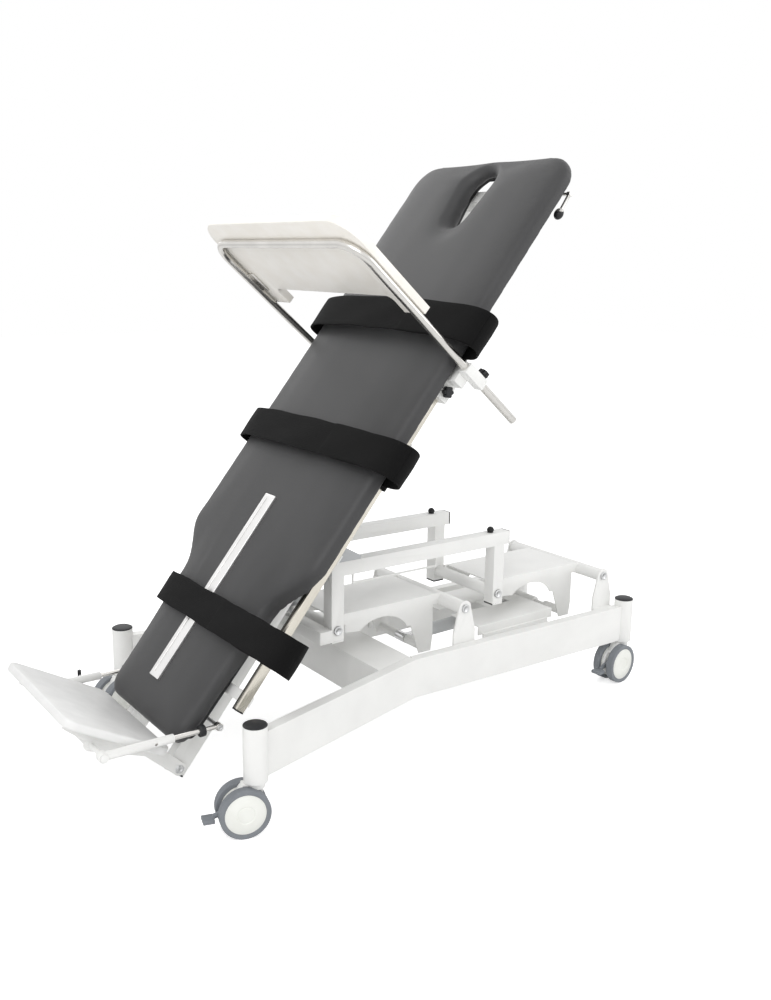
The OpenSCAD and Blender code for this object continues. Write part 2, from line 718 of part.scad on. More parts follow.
// Each outline point moved inwards by d, along the mean of its neighbours' normals
function inset(pts, d) = let (n = len(pts)) [for (i = [0:n - 1])
  let (a = pts[(i + n - 1) % n], b = pts[(i + 1) % n], t = (b - a) / norm(b - a)) pts[i] + d * [-t[1], t[0]]];
face_inset = 157;
face_x = pad_head_l - face_inset;
face_narrow_share = 0.3;
tangent_share = 0.995;
// Rings of the crowned pad: inset and height as shares of the pad's thickness, the share of the crown,
// then how far the ring is drawn in to the middle line, by less along the pad than across it
pad_ring_shares = [[0.28, 0, 0, 0], [0.08, 0.16, 0, 0], [0, 0.36, 0, 0], [0.02, 0.56, 0, 0], [0.12, 0.8, 0, 0],
  [0.32, 0.94, 0, 0], [0.68, 1, 0, 0], [0.68, 1, 0.6, 0.25], [0.68, 1, 1, 0.55]];
crown_end_share = 0.2;
pad_mid = (pad_head_l - pad_foot_l) / 2;
function drawn_in(p, share) = [p[0] + (pad_mid - p[0]) * share * crown_end_share, p[1] * (1 - share)];
module face_plan(grow) {
  r1 = face_w / 2 + grow;
  r2 = face_w * face_narrow_share + grow;
  d = face_l - face_w / 2 - face_w * face_narrow_share;
  c = (r1 - r2) / d;
  k = sqrt(1 - c * c) * tangent_share;
  translate([face_x, 0]) {
    translate([d / 2, 0]) circle(r = r1);
    translate([-d / 2, 0]) circle(r = r2);
    polygon([[d / 2 - r1 * c, r1 * k], [-d / 2 - r2 * c, r2 * k],
      [-d / 2 - r2 * c, -r2 * k], [d / 2 - r1 * c, -r1 * k]]);
  }
}
module pad() {
  base = pad_outline();
  n = len(base);
  m = len(pad_ring_shares);
  pts = [for (r = pad_ring_shares, q = inset(base, r[0] * pad_t)) let (p = drawn_in(q, r[3]))
    [p[0], p[1], r[1] * pad_t + r[2] * pad_crown]];
  sides = [for (k = [0:m - 2], i = [0:n - 1]) each
    [[k * n + i, k * n + (i + 1) % n, (k + 1) * n + (i + 1) % n],
      [k * n + i, (k + 1) * n + (i + 1) % n, (k + 1) * n + i]]];
  caps = concat([[for (i = [0:n - 1]) n - 1 - i]], [[for (i = [0:n - 1]) (m - 1) * n + i]]);
  color("#55585c") on_top() translate([0, 0, pad_z0]) difference() {
    polyhedron(pts, [for (f = concat(sides, caps)) [for (i = [len(f) - 1:-1:0]) f[i]]], convexity = 6);
    translate([0, 0, -over]) linear_extrude(pad_t + 2 * pad_crown) face_plan(0);
  }
}
board_inset = 30;
board_half_w = 252;
face_rim = 6;
module board() {
  color("#2b2c2e") on_top() translate([0, 0, long_z1]) linear_extrude(board_t - seat_gap) difference() {
    intersection() {
      polygon(inset(pad_outline(), board_inset));
      translate([-pad_foot_l, -board_half_w]) square([pad_foot_l + pad_head_l, 2 * board_half_w]);
    }
    face_plan(face_rim);
  }
}
rail_foot_share = -0.749;
clamp_head = 24;
strap_room = 6;
clip_w = 28;
chest_strap_x0 = tray_run + clamp_head + strap_room;
side_rail_x = [pad_foot_l * rail_foot_share, chest_strap_x0 + chest_strap_w + strap_room + clip_w];
side_rail_z = 29;
side_rail_wall = 2;
module side_rails() {
  color(steel) on_top() both_sides() translate([side_rail_x[0], -side_rail_y, side_rail_z])
    tube_x(side_rail_x[1] - side_rail_x[0], side_rail_w, side_rail_h, side_rail_wall);
}
clip_run_shares = [0.015, 0.37, 0.664, 1];
clip_t = 20;
clip_plate_t = 5;
module rail_clips() {
  y0 = -side_rail_y - side_rail_w / 2;
  y1 = -side_rail_y + side_rail_w / 2;
  color(white) on_top() both_sides() for (s = clip_run_shares) {
    u = side_rail_x[0] + s * (side_rail_x[1] - side_rail_x[0] - clip_w);
    block([u, y1, side_rail_z + clip_plate_t / 2], [u + clip_w, -long_y - long_w / 2, side_rail_z + clip_t]);
    block([u, y0, side_rail_z - clip_plate_t], [u + clip_w, y1 + clip_plate_t, side_rail_z]);
    block([u, y1, side_rail_z - clip_plate_t], [u + clip_w, y1 + clip_plate_t, side_rail_z + clip_t]);
  }
}
top_cap_t = 5;
rail_cap_t = 4;
module top_caps() {
  y0 = -long_y - long_w / 2;
  y1 = -long_y + long_w / 2;
  color("#1d1e20") on_top() both_sides() {
    block([long_foot - top_cap_t, y0, long_z0], [long_foot, y1, long_z1]);
    block([long_head, y0, long_z0], [long_head + top_cap_t, y1, long_z1]);
    for (u = [side_rail_x[0] - rail_cap_t, side_rail_x[1]]) block([u, -side_rail_y - side_rail_w / 2, side_rail_z],
      [u + rail_cap_t, -side_rail_y + side_rail_w / 2, side_rail_z + side_rail_h]);
  }
}
// Leg divider track: two strips with a slot between them, on the crown of the pad
track_inset = 110;
track_x0 = track_inset - pad_foot_l;
track_end = 14;
track_floor = 2;
track_far_share = 0.32;
track_slot = 6;
track_h = 7;
module divider_track() {
  far_w = (track_w - track_slot) * track_far_share;
  z = pad_z1 + pad_crown + seat_gap;
  color("#d9dadb") on_top() difference() {
    translate([track_x0, -track_w / 2, z]) cube([track_l, track_w, track_h]);
    translate([track_x0 + track_end, track_w / 2 - far_w - track_slot, z + track_floor])
      cube([track_l - 2 * track_end, track_slot, track_h]);
  }
}

// Straps: a path across the pad, given as places across and above it, widened along the table
module strap(u, w, path) {
  n = len(path);
  dirs = [for (i = [0:n - 1]) let (d = path[min(i + 1, n - 1)] - path[max(i - 1, 0)]) d / norm(d)];
  left = [for (i = [0:n - 1]) path[i] + strap_t / 2 * [-dirs[i][1], dirs[i][0]]];
  right = [for (i = [0:n - 1]) path[n - 1 - i] - strap_t / 2 * [-dirs[n - 1 - i][1], dirs[n - 1 - i][0]]];
  color("#1f2022") on_top() translate([u - w / 2, 0, 0]) rotate([90, 0, 90]) linear_extrude(w)
    polygon(concat(left, right));
}
// Each strap loops round the side rail, runs out over the edge of the pad and across it.
// Its places between the rails are shares of the pad's half width there and of the height of the pad's edge
strap_turn = 4;
function strap_path(half_w, near, top, far) = let (r = side_rail_y + side_rail_w / 2 + strap_t / 2 + side_play,
    q = side_rail_y - side_rail_w / 2 - strap_t / 2 - side_play, t = strap_turn,
    z0 = side_rail_z - strap_t / 2 - side_play, z1 = side_rail_z + side_rail_h + strap_t / 2 + side_play)
  concat([[-q, z1 - 2 * t], [-q, z0 + t], [-q - t, z0], [-r + t, z0], [-r, z0 + t], [-r - side_play, z1 - t / 2]],
    [for (p = concat(near, top, far)) [p[0] * half_w, p[1] * pad_z1]],
    [[r + side_play, z1 - t / 2], [r, z0 + t], [r - t, z0], [q + t, z0], [q, z0 + t], [q, z1 - 2 * t]]);
mid_strap_share = 0.591;
mid_strap_x = side_rail_x[0] + (side_rail_x[1] - side_rail_x[0]) * mid_strap_share;
ankle_strap_share = -0.48;
chest_near_shares = [[-1.036, 0.487], [-1.148, 0.639], [-1.207, 0.874], [-1.178, 1.092], [-1.036, 1.235]];
chest_top_shares = [[-0.74, 1.328], [-0.296, 1.378], [0, 1.387], [0.296, 1.37], [0.74, 1.286]];
chest_far_shares = [[0.947, 1.176], [1.041, 1.025], [1.056, 0.807], [1.024, 0.588], [0.917, 0.487]];
mid_near_shares = [[-1.036, 0.471], [-1.178, 0.622], [-1.251, 0.874], [-1.213, 1.109], [-1.05, 1.244]];
mid_top_shares = [[-0.74, 1.311], [-0.296, 1.345], [0, 1.353], [0.296, 1.328], [0.74, 1.261]];
mid_far_shares = [[0.917, 1.176], [1.018, 1.042], [1.038, 0.824], [1.012, 0.588], [0.917, 0.487]];
ankle_near_shares = [[-1.471, 0.487], [-1.765, 0.639], [-1.95, 0.924], [-1.899, 1.193], [-1.597, 1.311]];
ankle_top_shares = [[-1.05, 1.328], [-0.42, 1.303], [0, 1.286], [0.336, 1.269], [0.672, 1.227]];
ankle_far_shares = [[0.861, 1.151], [0.975, 1.008], [1.034, 0.807], [1.084, 0.639], [1.151, 0.538]];
module strap_chest() {
  strap(chest_strap_x0 + chest_strap_w / 2, chest_strap_w,
    strap_path(pad_half_w, chest_near_shares, chest_top_shares, chest_far_shares));
}
module strap_middle() {
  strap(mid_strap_x, mid_strap_w,
    strap_path(pad_half_w, mid_near_shares, mid_top_shares, mid_far_shares));
}
module strap_ankle() {
  strap(pad_foot_l * ankle_strap_share, ankle_strap_w,
    strap_path(leg_half_w, ankle_near_shares, ankle_top_shares, ankle_far_shares));
}

// Pins that carry the footboard's frame and the brace rods
foot_plate_t = 6;
foot_plate_gap = 3;
foot_plate_y = long_y + long_w / 2 + foot_plate_gap;
brace_gap = 16;
brace_y = max(footboard_w / 2, foot_half_w) + brace_gap;
brace_eye_half = 8;
pin_tail = 4;
module foot_bolts() {
  inner = -long_y + long_w / 2 + pin_tail;
  foot_end = -foot_plate_y - foot_plate_t - side_play;
  brace_end = -brace_y - brace_eye_half - side_play;
  color(steel) on_top() both_sides() {
    translate([foot_pin[0], 0, foot_pin[1]]) {
      rod_y(foot_pin_d, foot_end, inner);
      head_y(foot_pin_d, foot_end);
    }
    translate([brace_pin[0], 0, brace_pin[1]]) {
      rod_y(brace_pin_d, brace_end, inner);
      head_y(brace_pin_d, brace_end);
    }
  }
}
// Head end lever: a rod across the frame with a cranked handle and a knob on its near end
lever_half_w = 300;
lever_tail = 12;
lever_collar_w = 7;
lever_lean = 94;
lever_handle_l = 66;
lever_knob_d = 26;
lever_knob_share = 1.3;
lever_knob_cut_share = 0.6;
lever_hub_d = 14;
lever_hub_w = 12;
module head_lever() {
  collar_y = -long_y - long_w / 2 - side_play;
  color("#35373a") on_top() translate([lever_at[0], 0, lever_at[1]]) {
    rod_y(lever_rod_d, -lever_half_w, -long_y + long_w / 2 + lever_tail);
    rod_y(lever_sleeve_d, collar_y - lever_collar_w, collar_y);
    translate([0, -lever_half_w, 0]) {
      rod_y(lever_hub_d, -lever_hub_w / 2, lever_hub_w / 2);
      rotate([0, -lever_lean, 0]) cylinder(d = lever_rod_d, h = lever_handle_l);
      rotate([0, -lever_lean, 0]) translate([0, 0, lever_handle_l]) rotate_extrude() intersection() {
        scale([1, lever_knob_share]) circle(d = lever_knob_d);
        translate([0, -lever_knob_d * lever_knob_cut_share])
          square([lever_knob_d, 2 * lever_knob_d * lever_knob_cut_share]);
      }
    }
  }
}

// Tray on a bent tube that slides in two sleeves on the side rails
clamp_foot = 90;
clamp_wall = 5;
clamp_under = 9;
clamp_over = 12;
clamp_x = [-clamp_foot, clamp_head];
clamp_z = [side_rail_z - clamp_under, side_rail_z + side_rail_h + clamp_over];
sleeve_w = 30;
sleeve_tail = 52;
sleeve_head = 25;
sleeve_x = [-sleeve_tail, sleeve_head];
clamp_y = [side_rail_y - side_rail_w / 2 - clamp_wall, tray_arm_y - sleeve_w / 2 - side_play];
clamp_body_w = 48;
clamp_notch = 46;
clamp_arm_start = 50;
knob_inset = 24;
sleeve_knob_inset = 16;
pivot_rise = 14;
pivot_w = side_rail_z + pivot_rise;
sleeve_pin_d = 14;
sleeve_pin_l = 24;
module on_clamp() { on_top() translate([tray_run, 0, 0]) children(); }
module on_tray() { on_top() translate([tray_run, 0, pivot_w]) rotate([0, -tray_angle, 0]) children(); }
knob_screw_d = 8;
module rail_clamps() {
  color("#cfd1d3") on_clamp() both_sides() difference() {
    union() {
      block([clamp_x[0], -clamp_y[0] - clamp_body_w, clamp_z[0]], [clamp_x[1] - clamp_notch, -clamp_y[0], clamp_z[1]]);
      block([clamp_x[0] + clamp_arm_start, -clamp_y[1], clamp_z[0] + clamp_wall],
        [clamp_x[1], side_play - clamp_y[0] - clamp_body_w, clamp_z[1] - clamp_wall]);
    }
    block([clamp_x[0] - over, -side_rail_y - side_rail_w / 2 - seat_gap, side_rail_z - seat_gap],
      [clamp_x[1] + over, -side_rail_y + side_rail_w / 2 + seat_gap, side_rail_z + side_rail_h + seat_gap]);
    translate([0, 0, pivot_w])
      rod_y(sleeve_pin_d + 2 * play, -clamp_y[1] - over, sleeve_pin_l + 2 * side_play - clamp_y[1]);
    translate([clamp_x[0] + knob_inset, 0, pivot_w])
      rod_y(knob_screw_d + 2 * play, -clamp_y[0] - clamp_body_w - over, -side_rail_y);
  }
}
module arm_sleeves() {
  color(white) on_tray() both_sides() difference() {
    union() {
      block([sleeve_x[0], -tray_arm_y - sleeve_w / 2, -sleeve_w / 2],
        [sleeve_x[1], -tray_arm_y + sleeve_w / 2, sleeve_w / 2]);
      rod_y(sleeve_pin_d, -tray_arm_y, sleeve_pin_l - clamp_y[1]);
    }
    translate([sleeve_x[0] - over, -tray_arm_y, 0]) rotate([0, 90, 0])
      cylinder(d = tray_tube_d + 2 * play, h = sleeve_x[1] - sleeve_x[0] + 2 * over);
    translate([sleeve_x[0] + sleeve_knob_inset, -tray_arm_y, -sleeve_w])
      cylinder(d = knob_screw_d + 2 * play, h = sleeve_w);
  }
}
tray_bend_r = 70;
module bent_tube(d, past) {
  straight = tray_tail + tray_reach - tray_bend_r;
  both_sides() {
    translate([-tray_tail - past, -tray_arm_y, 0]) rotate([0, 90, 0]) cylinder(d = d, h = straight + past);
    translate([tray_reach - tray_bend_r, -tray_arm_y + tray_bend_r, 0]) rotate([0, 0, -90]) rotate_extrude(angle = 90)
      translate([tray_bend_r, 0]) circle(d = d);
    translate([tray_reach, 0, 0]) rotate([90, 0, 0]) cylinder(d = d, h = tray_arm_y - tray_bend_r);
  }
}
tray_x0 = 222;
tray_lug_start = 60;
tray_lug = [70, 34, 4];
module tray_frame() {
  color(steel) on_tray() {
    bent_tube(tray_tube_d, 0);
    // Lugs under the tray's screws
    both_sides() block([tray_x0 + tray_lug_start, -tray_arm_y - tray_tube_d / 4, -tray_tube_d / 2 - seat_gap],
      [tray_x0 + tray_lug_start + tray_lug[0], -tray_arm_y + tray_lug[1], -tray_tube_d / 2 + tray_lug[2]]);
  }
}
tray_corner = 80;
tray_lip = 10;
tray_recess = 3;
cut_margin = 85;
cut_half_w = tray_w / 2 - cut_margin;
cut_corner = 20;
module tray_plan(d) {
  difference() {
    translate([tray_x0 + d, -tray_w / 2 + d]) square([tray_l - 2 * d, tray_w - 2 * d]);
    both_sides() translate([tray_x0 + tray_l - tray_corner, -tray_w / 2 + tray_corner]) difference() {
      translate([0, -tray_corner - over]) square(tray_corner + over);
      circle(r = tray_corner - d);
    }
    translate([tray_x0 - over, -cut_half_w - d]) square([tray_cut + over - cut_corner, 2 * (cut_half_w + d)]);
    translate([tray_x0 - over, -cut_half_w + cut_corner])
      square([tray_cut + d + over, 2 * (cut_half_w - cut_corner)]);
    both_sides() translate([tray_x0 + tray_cut - cut_corner, -cut_half_w + cut_corner]) circle(r = cut_corner + d);
  }
}
module tray_top() {
  z1 = -tray_tube_d / 2 - 2 * seat_gap;
  color(white) on_tray() difference() {
    translate([0, 0, z1 - tray_t]) linear_extrude(tray_t) tray_plan(0);
    translate([0, 0, z1 - tray_t - over]) linear_extrude(over + tray_recess) tray_plan(tray_lip);
  }
}
// Star knob on a screw: the head's face at the origin, the screw going to +Z
knob_h = 16;
knob_core_d = 22;
knob_lobe_d = 10;
knob_lobe_h = 12;
knob_lobes = 6;
knob_gap = 3;
module star_knob(screw_l) {
  color("#1c1d1f") {
    translate([0, 0, -knob_h]) cylinder(d = knob_core_d, h = knob_h);
    for (i = [1:knob_lobes]) rotate([0, 0, 360 / knob_lobes * i])
      translate([knob_core_d / 2, 0, -(knob_h + knob_lobe_h) / 2]) cylinder(d = knob_lobe_d, h = knob_lobe_h);
    cylinder(d = knob_screw_d, h = screw_l);
  }
}
module knob_clamp() {
  y = clamp_y[0] + clamp_body_w + knob_gap;
  on_clamp() translate([clamp_x[0] + knob_inset, -y, pivot_w]) rotate([-90, 0, 0])
    star_knob(y - side_rail_y - side_rail_w / 2 - side_play);
}
module knob_clamp_near() { knob_clamp(); }
module knob_clamp_far() { mirror([0, 1, 0]) knob_clamp(); }
module knob_sleeve() {
  z = sleeve_w / 2 + knob_gap;
  on_tray() translate([sleeve_x[0] + sleeve_knob_inset, -tray_arm_y, -z]) star_knob(z - tray_tube_d / 2 - side_play);
}
module knob_sleeve_near() { knob_sleeve(); }
module knob_sleeve_far() { mirror([0, 1, 0]) knob_sleeve(); }

// Footboard, in the frame of its hinge: Z along the board, X to the head
module on_foot() { on_top() translate([foot_pin[0], 0, foot_pin[1]]) rotate([0, -footboard_angle, 0]) children(); }
board_x = 34;
board_z0 = 81;
brace_height = 260;
brace_at = [0, brace_height];
footboard_corner = 30;
foot_shaft_d = 12;
foot_boss_d = 36;
brace_boss_d = 34;
foot_web = 16;
foot_knee = 60;
foot_waist = 110;
foot_tie_t = 4;
foot_sleeve_d = 22;
brace_boss_half = 10;
shaft_head_h = 5;
module foot_frame() {
  back = board_x - seat_gap;
  top = board_z0 + footboard_l - footboard_corner;
  color(white) on_foot() difference() {
    union() {
      both_sides() translate([0, -foot_plate_y, 0]) rotate([90, 0, 0]) linear_extrude(foot_plate_t) {
        circle(d = foot_boss_d);
        translate(brace_at) circle(d = brace_boss_d);
        polygon([[-foot_boss_d / 2, 0], [foot_boss_d / 2, 0], [back, foot_knee], [back, top],
          [board_x - foot_web, top], brace_at + [foot_web / 4, foot_web], brace_at - [foot_web, foot_web * 3 / 8],
          [foot_web / 2, foot_waist]]);
      }
      block([board_x - foot_tie_t, -foot_plate_y - side_play, board_z0 + foot_tie_t],
        [back, foot_plate_y + side_play, top - foot_tie_t]);
      translate([brace_at[0], 0, brace_at[1]]) {
        rod_y(foot_sleeve_d, -foot_plate_y - side_play, foot_plate_y + side_play);
        both_sides() rod_y(foot_shaft_d, -brace_y - brace_boss_half - 2 * side_play, -foot_plate_y);
        both_sides() rod_y(foot_shaft_d * bolt_head_share, -brace_y - brace_boss_half - side_play - shaft_head_h,
          -brace_y - brace_boss_half - side_play);
      }
    }
    rod_y(foot_pin_d + 2 * play, -brace_y, brace_y);
  }
}
module footboard() {
  c = footboard_corner;
  color("#e9e4d6") on_foot() rotate([90, 0, 90]) translate([0, 0, board_x]) linear_extrude(footboard_t) {
    translate([-footboard_w / 2 + c, board_z0]) square([footboard_w - 2 * c, footboard_l]);
    translate([-footboard_w / 2, board_z0 + c]) square([footboard_w, footboard_l - 2 * c]);
    for (x = [c - footboard_w / 2, footboard_w / 2 - c], z = [board_z0 + c, board_z0 + footboard_l - c])
      translate([x, z]) circle(r = c);
  }
}
// Telescopic braces from the footboard's shaft to the frame
brace_from = [foot_pin[0] + brace_at[0] * cos(footboard_angle) - brace_at[1] * sin(footboard_angle),
  foot_pin[1] + brace_at[0] * sin(footboard_angle) + brace_at[1] * cos(footboard_angle)];
brace_span = brace_pin - brace_from;
brace_aim = atan2(brace_span[1], brace_span[0]);
brace_d = 22;
brace_rod_d = 12;
brace_bore = 15;
brace_bore_start = 18;
brace_tube_start = 8;
brace_tube_l = 170;
brace_eye_d = 26;
rod_eye_d = 20;
brace_rod_l = 225;
brace_knob_run = 38;
brace_knob_d = 30;
brace_knob_h = 16;
lock_run = 130;
lock_pin_d = 8;
lock_pin_out = 30;
lock_bar_d = 10;
lock_bar_l = 32;
module at_brace(p, turn) { on_top() translate([p[0], 0, p[1]]) rotate([0, turn - brace_aim, 0]) children(); }
module brace_tubes() {
  color(white) at_brace(brace_from, 0) both_sides() translate([0, -brace_y, 0]) difference() {
    union() {
      rod_y(brace_eye_d, -brace_boss_half, brace_boss_half);
      translate([brace_tube_start, 0, 0]) rotate([0, 90, 0]) cylinder(d = brace_d, h = brace_tube_l);
    }
    rod_y(foot_shaft_d + 2 * play, -2 * brace_boss_half, 2 * brace_boss_half);
    translate([brace_bore_start, 0, 0]) rotate([0, 90, 0]) cylinder(d = brace_bore, h = brace_tube_l);
    translate([lock_run, 0, 0]) rod_y(lock_pin_d + 2 * play, -brace_d, 0);
  }
}
module brace_rods() {
  color(steel) at_brace(brace_pin, 180) both_sides() translate([0, -brace_y, 0]) difference() {
    union() {
      rod_y(rod_eye_d, -brace_eye_half, brace_eye_half);
      rotate([0, 90, 0]) cylinder(d = brace_rod_d, h = brace_rod_l);
    }
    rod_y(brace_pin_d + 2 * play, -2 * brace_eye_half, 2 * brace_eye_half);
  }
}
module brace_knobs() {
  color("#1c1d1f") at_brace(brace_pin, 180) both_sides() translate([brace_knob_run, -brace_y, 0]) rotate([0, 90, 0])
    difference() {
      cylinder(d = brace_knob_d, h = brace_knob_h);
      translate([0, 0, -over]) cylinder(d = brace_rod_d + 2 * play, h = brace_knob_h + 2 * over);
    }
}
// T shaped pin through the far brace tube
module lock_pin() {
  color("#1c1d1f") at_brace(brace_from, 0) translate([lock_run, brace_y, 0]) {
    rod_y(lock_pin_d, brace_bore / 2 + side_play, lock_pin_out - 2 * side_play);
    translate([0, lock_pin_out, -lock_bar_l / 2]) cylinder(d = lock_bar_d, h = lock_bar_l);
  }
}

// Swivel casters: in the caster's own frame the stem is at the origin and the axle lies along Y
axle_d = 8;
web_w = wheel_gauge - wheel_w - 2 * side_play;
hood_gap = 1.2;
hood_t = 2.3;
stem_top = post_bottom - side_play;
pedal_run = 34;
pedal_rise = 4;
pedal_pin = [-caster_trail - pedal_run, wheel_d / 2 + pedal_rise];
pedal_pin_d = 6;
pedal_boss_d = 14;
pedal_half_t = 4;
pedal_l = 40;
pedal_pad = [28, 34, 10];
hood_half_w = (wheel_gauge + wheel_w + side_play) / 2;
hood_cut = 14;
fork_r_share = 0.3;
fork_drop = 20;
fork_nose = 19;
fork_toe = 10;
fork_lip = 8;
collar_d = 44;
collar_h = 14;
stem_sink = 20;
wheel_play = 0.9;
slot_back = 20;
slot_size = [31, 10, 80];
module on_caster(end, far) {
  turn = end == 0 ? foot_caster_angle : -head_caster_angle;
  side = far ? 1 : -1;
  translate([post_x[end], post_half[end] * side, 0]) rotate([0, 0, turn * side]) children();
}
module caster(end, far) {
  color(white) on_caster(end, far) difference() {
    union() {
      translate([0, web_w / 2, 0]) rotate([90, 0, 0]) linear_extrude(web_w) {
        translate([-caster_trail, wheel_d / 2]) circle(r = wheel_d * fork_r_share);
        polygon([[-caster_trail, wheel_d / 2 - fork_drop], [fork_toe, wheel_d / 2 + fork_toe],
          [fork_nose, stem_top - fork_lip], [fork_nose, stem_top], [-caster_trail, stem_top - 2 * side_play],
          [pedal_pin[0] - fork_lip, wheel_d / 2 + fork_drop], [pedal_pin[0] - fork_lip, wheel_d / 2 - fork_lip]]);
      }
      translate([-caster_trail, hood_half_w, wheel_d / 2]) rotate([90, 0, 0]) linear_extrude(2 * hood_half_w)
        difference() {
        circle(r = wheel_d / 2 + hood_gap + hood_t);
        circle(r = wheel_d / 2 + hood_gap);
        translate([-wheel_d, -wheel_d * 2 + hood_cut]) square(wheel_d * 2);
      }
      translate([0, 0, stem_top - collar_h]) cylinder(d = collar_d, h = collar_h);
      translate([0, 0, post_bottom - stem_sink]) cylinder(d = stem_d, h = stem_sink + post_floor - side_play);
    }
    translate([-caster_trail, 0, wheel_d / 2]) rod_y(axle_d + 2 * play, -web_w, web_w);
    for (s = [-1, 1]) translate([-caster_trail, s * wheel_gauge / 2 - wheel_w / 2 - wheel_play, wheel_d / 2])
      rod_y(wheel_d + hood_gap, 0, wheel_w + 2 * wheel_play);
    translate([pedal_pin[0], 0, pedal_pin[1]]) rod_y(pedal_pin_d + 2 * play, -web_w, web_w);
    translate([pedal_pin[0] - slot_back, -slot_size[1] / 2, pedal_pin[1] - slot_size[2] / 2]) cube(slot_size);
  }
}
tyre_h = 20;
tread_r = 8;
disc_sink = 3;
module wheels(end, far) {
  color("#8b8e90") on_caster(end, far) translate([-caster_trail, 0, wheel_d / 2]) {
    for (s = [-1, 1]) translate([0, s * wheel_gauge / 2, 0]) rotate([90, 0, 0]) rotate_extrude() {
      translate([0, disc_sink - wheel_w / 2]) square([wheel_d / 2 - tyre_h + 2 * side_play, wheel_w - 2 * disc_sink]);
      translate([wheel_d / 2 - tyre_h, -wheel_w / 2]) square([tyre_h - tread_r + 2 * side_play, wheel_w]);
      translate([wheel_d / 2 - tread_r, 0]) intersection() {
        scale([tread_r / (wheel_w / 2), 1]) circle(d = wheel_w);
        translate([0, -wheel_w]) square([wheel_w, wheel_w * 2]);
      }
    }
    rod_y(axle_d, -wheel_gauge / 2, wheel_gauge / 2);
  }
}
module pedal(end, far) {
  t = pedal_half_t;
  color("#77797c") on_caster(end, far) translate([pedal_pin[0], 0, pedal_pin[1]]) {
    rod_y(pedal_boss_d, -t, t);
    rod_y(pedal_pin_d, -web_w / 2, web_w / 2);
    translate([0, -t, 0]) rotate([90, 0, 180]) linear_extrude(2 * t)
      polygon([[0, -pedal_boss_d / 2], [0, pedal_boss_d / 2], [pedal_l, -2 * t], [pedal_l, -5 * t]]);
    translate([-pedal_l - 6 * t, -pedal_pad[1] / 2, -6 * t]) cube(pedal_pad);
  }
}
module caster_foot_near() { caster(0, false); }
module caster_foot_far() { caster(0, true); }
module caster_head_near() { caster(1, false); }
module caster_head_far() { caster(1, true); }
module wheels_foot_near() { wheels(0, false); }
module wheels_foot_far() { wheels(0, true); }
module wheels_head_near() { wheels(1, false); }
module wheels_head_far() { wheels(1, true); }
module pedal_foot_near() { pedal(0, false); }
module pedal_foot_far() { pedal(0, true); }
module pedal_head_near() { pedal(1, false); }
module pedal_head_far() { pedal(1, true); }

base_rails();
base_posts();
post_caps();
base_cross_beams();
pivot_brackets();
base_bolts();
lift_cover();
arm_head();
arm_foot();
lift_frame_sides();
lift_frame_cross();
lift_frame_caps();
rubber_buffers();
tilt_brackets();
frame_bolts();
hanger_wire();
tilt_motor();
tilt_rod();
lift_motor();
lift_rod();
top_frame();
tilt_lever();
board();
pad();
side_rails();
rail_clips();
top_caps();
divider_track();
strap_chest();
strap_middle();
strap_ankle();
foot_bolts();
head_lever();
rail_clamps();
arm_sleeves();
tray_frame();
tray_top();
knob_clamp_near();
knob_clamp_far();
knob_sleeve_near();
knob_sleeve_far();
foot_frame();
footboard();
brace_tubes();
brace_rods();
brace_knobs();
lock_pin();
caster_foot_near();
caster_foot_far();
caster_head_near();
caster_head_far();
wheels_foot_near();
wheels_foot_far();
wheels_head_near();
wheels_head_far();
pedal_foot_near();
pedal_foot_far();
pedal_head_near();
pedal_head_far();
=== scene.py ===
# Looks of a physiotherapy tilt table: padded vinyl top, straps, tray, footboard, lift frame, base on casters.
import json
import math

import bpy
import numpy as np
from mathutils import Matrix, Vector


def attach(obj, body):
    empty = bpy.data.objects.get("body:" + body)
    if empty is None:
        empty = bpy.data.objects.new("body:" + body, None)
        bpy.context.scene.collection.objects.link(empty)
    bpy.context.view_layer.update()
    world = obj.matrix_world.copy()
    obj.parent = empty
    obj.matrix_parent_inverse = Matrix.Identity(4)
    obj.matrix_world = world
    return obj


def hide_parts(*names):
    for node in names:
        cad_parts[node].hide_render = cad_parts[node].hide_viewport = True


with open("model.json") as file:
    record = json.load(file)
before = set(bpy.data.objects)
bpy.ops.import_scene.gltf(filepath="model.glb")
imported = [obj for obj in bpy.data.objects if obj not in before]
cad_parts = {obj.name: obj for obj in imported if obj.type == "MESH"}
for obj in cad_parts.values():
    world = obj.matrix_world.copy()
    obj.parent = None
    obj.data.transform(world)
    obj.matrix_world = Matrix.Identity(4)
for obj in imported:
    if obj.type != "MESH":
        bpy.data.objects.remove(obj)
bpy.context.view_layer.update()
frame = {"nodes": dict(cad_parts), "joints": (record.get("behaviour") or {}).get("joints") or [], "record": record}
bpy.ops.object.select_all(action="DESELECT")
print("frame loaded:", len(frame["nodes"]), "solids")

# The camera is fitted to the photograph's frame of 771 x 1000
view = {
    "place": (-1.6607, -2.4141, 1.3513),
    "yaw": 0.634,      # turned from +Y towards +X, radians
    "pitch": 0.228,    # looking down
    "roll": -0.015,
    "lens": 37.59,     # mm
    "sensor": 36,      # mm
    "clipEnd": 60,
}


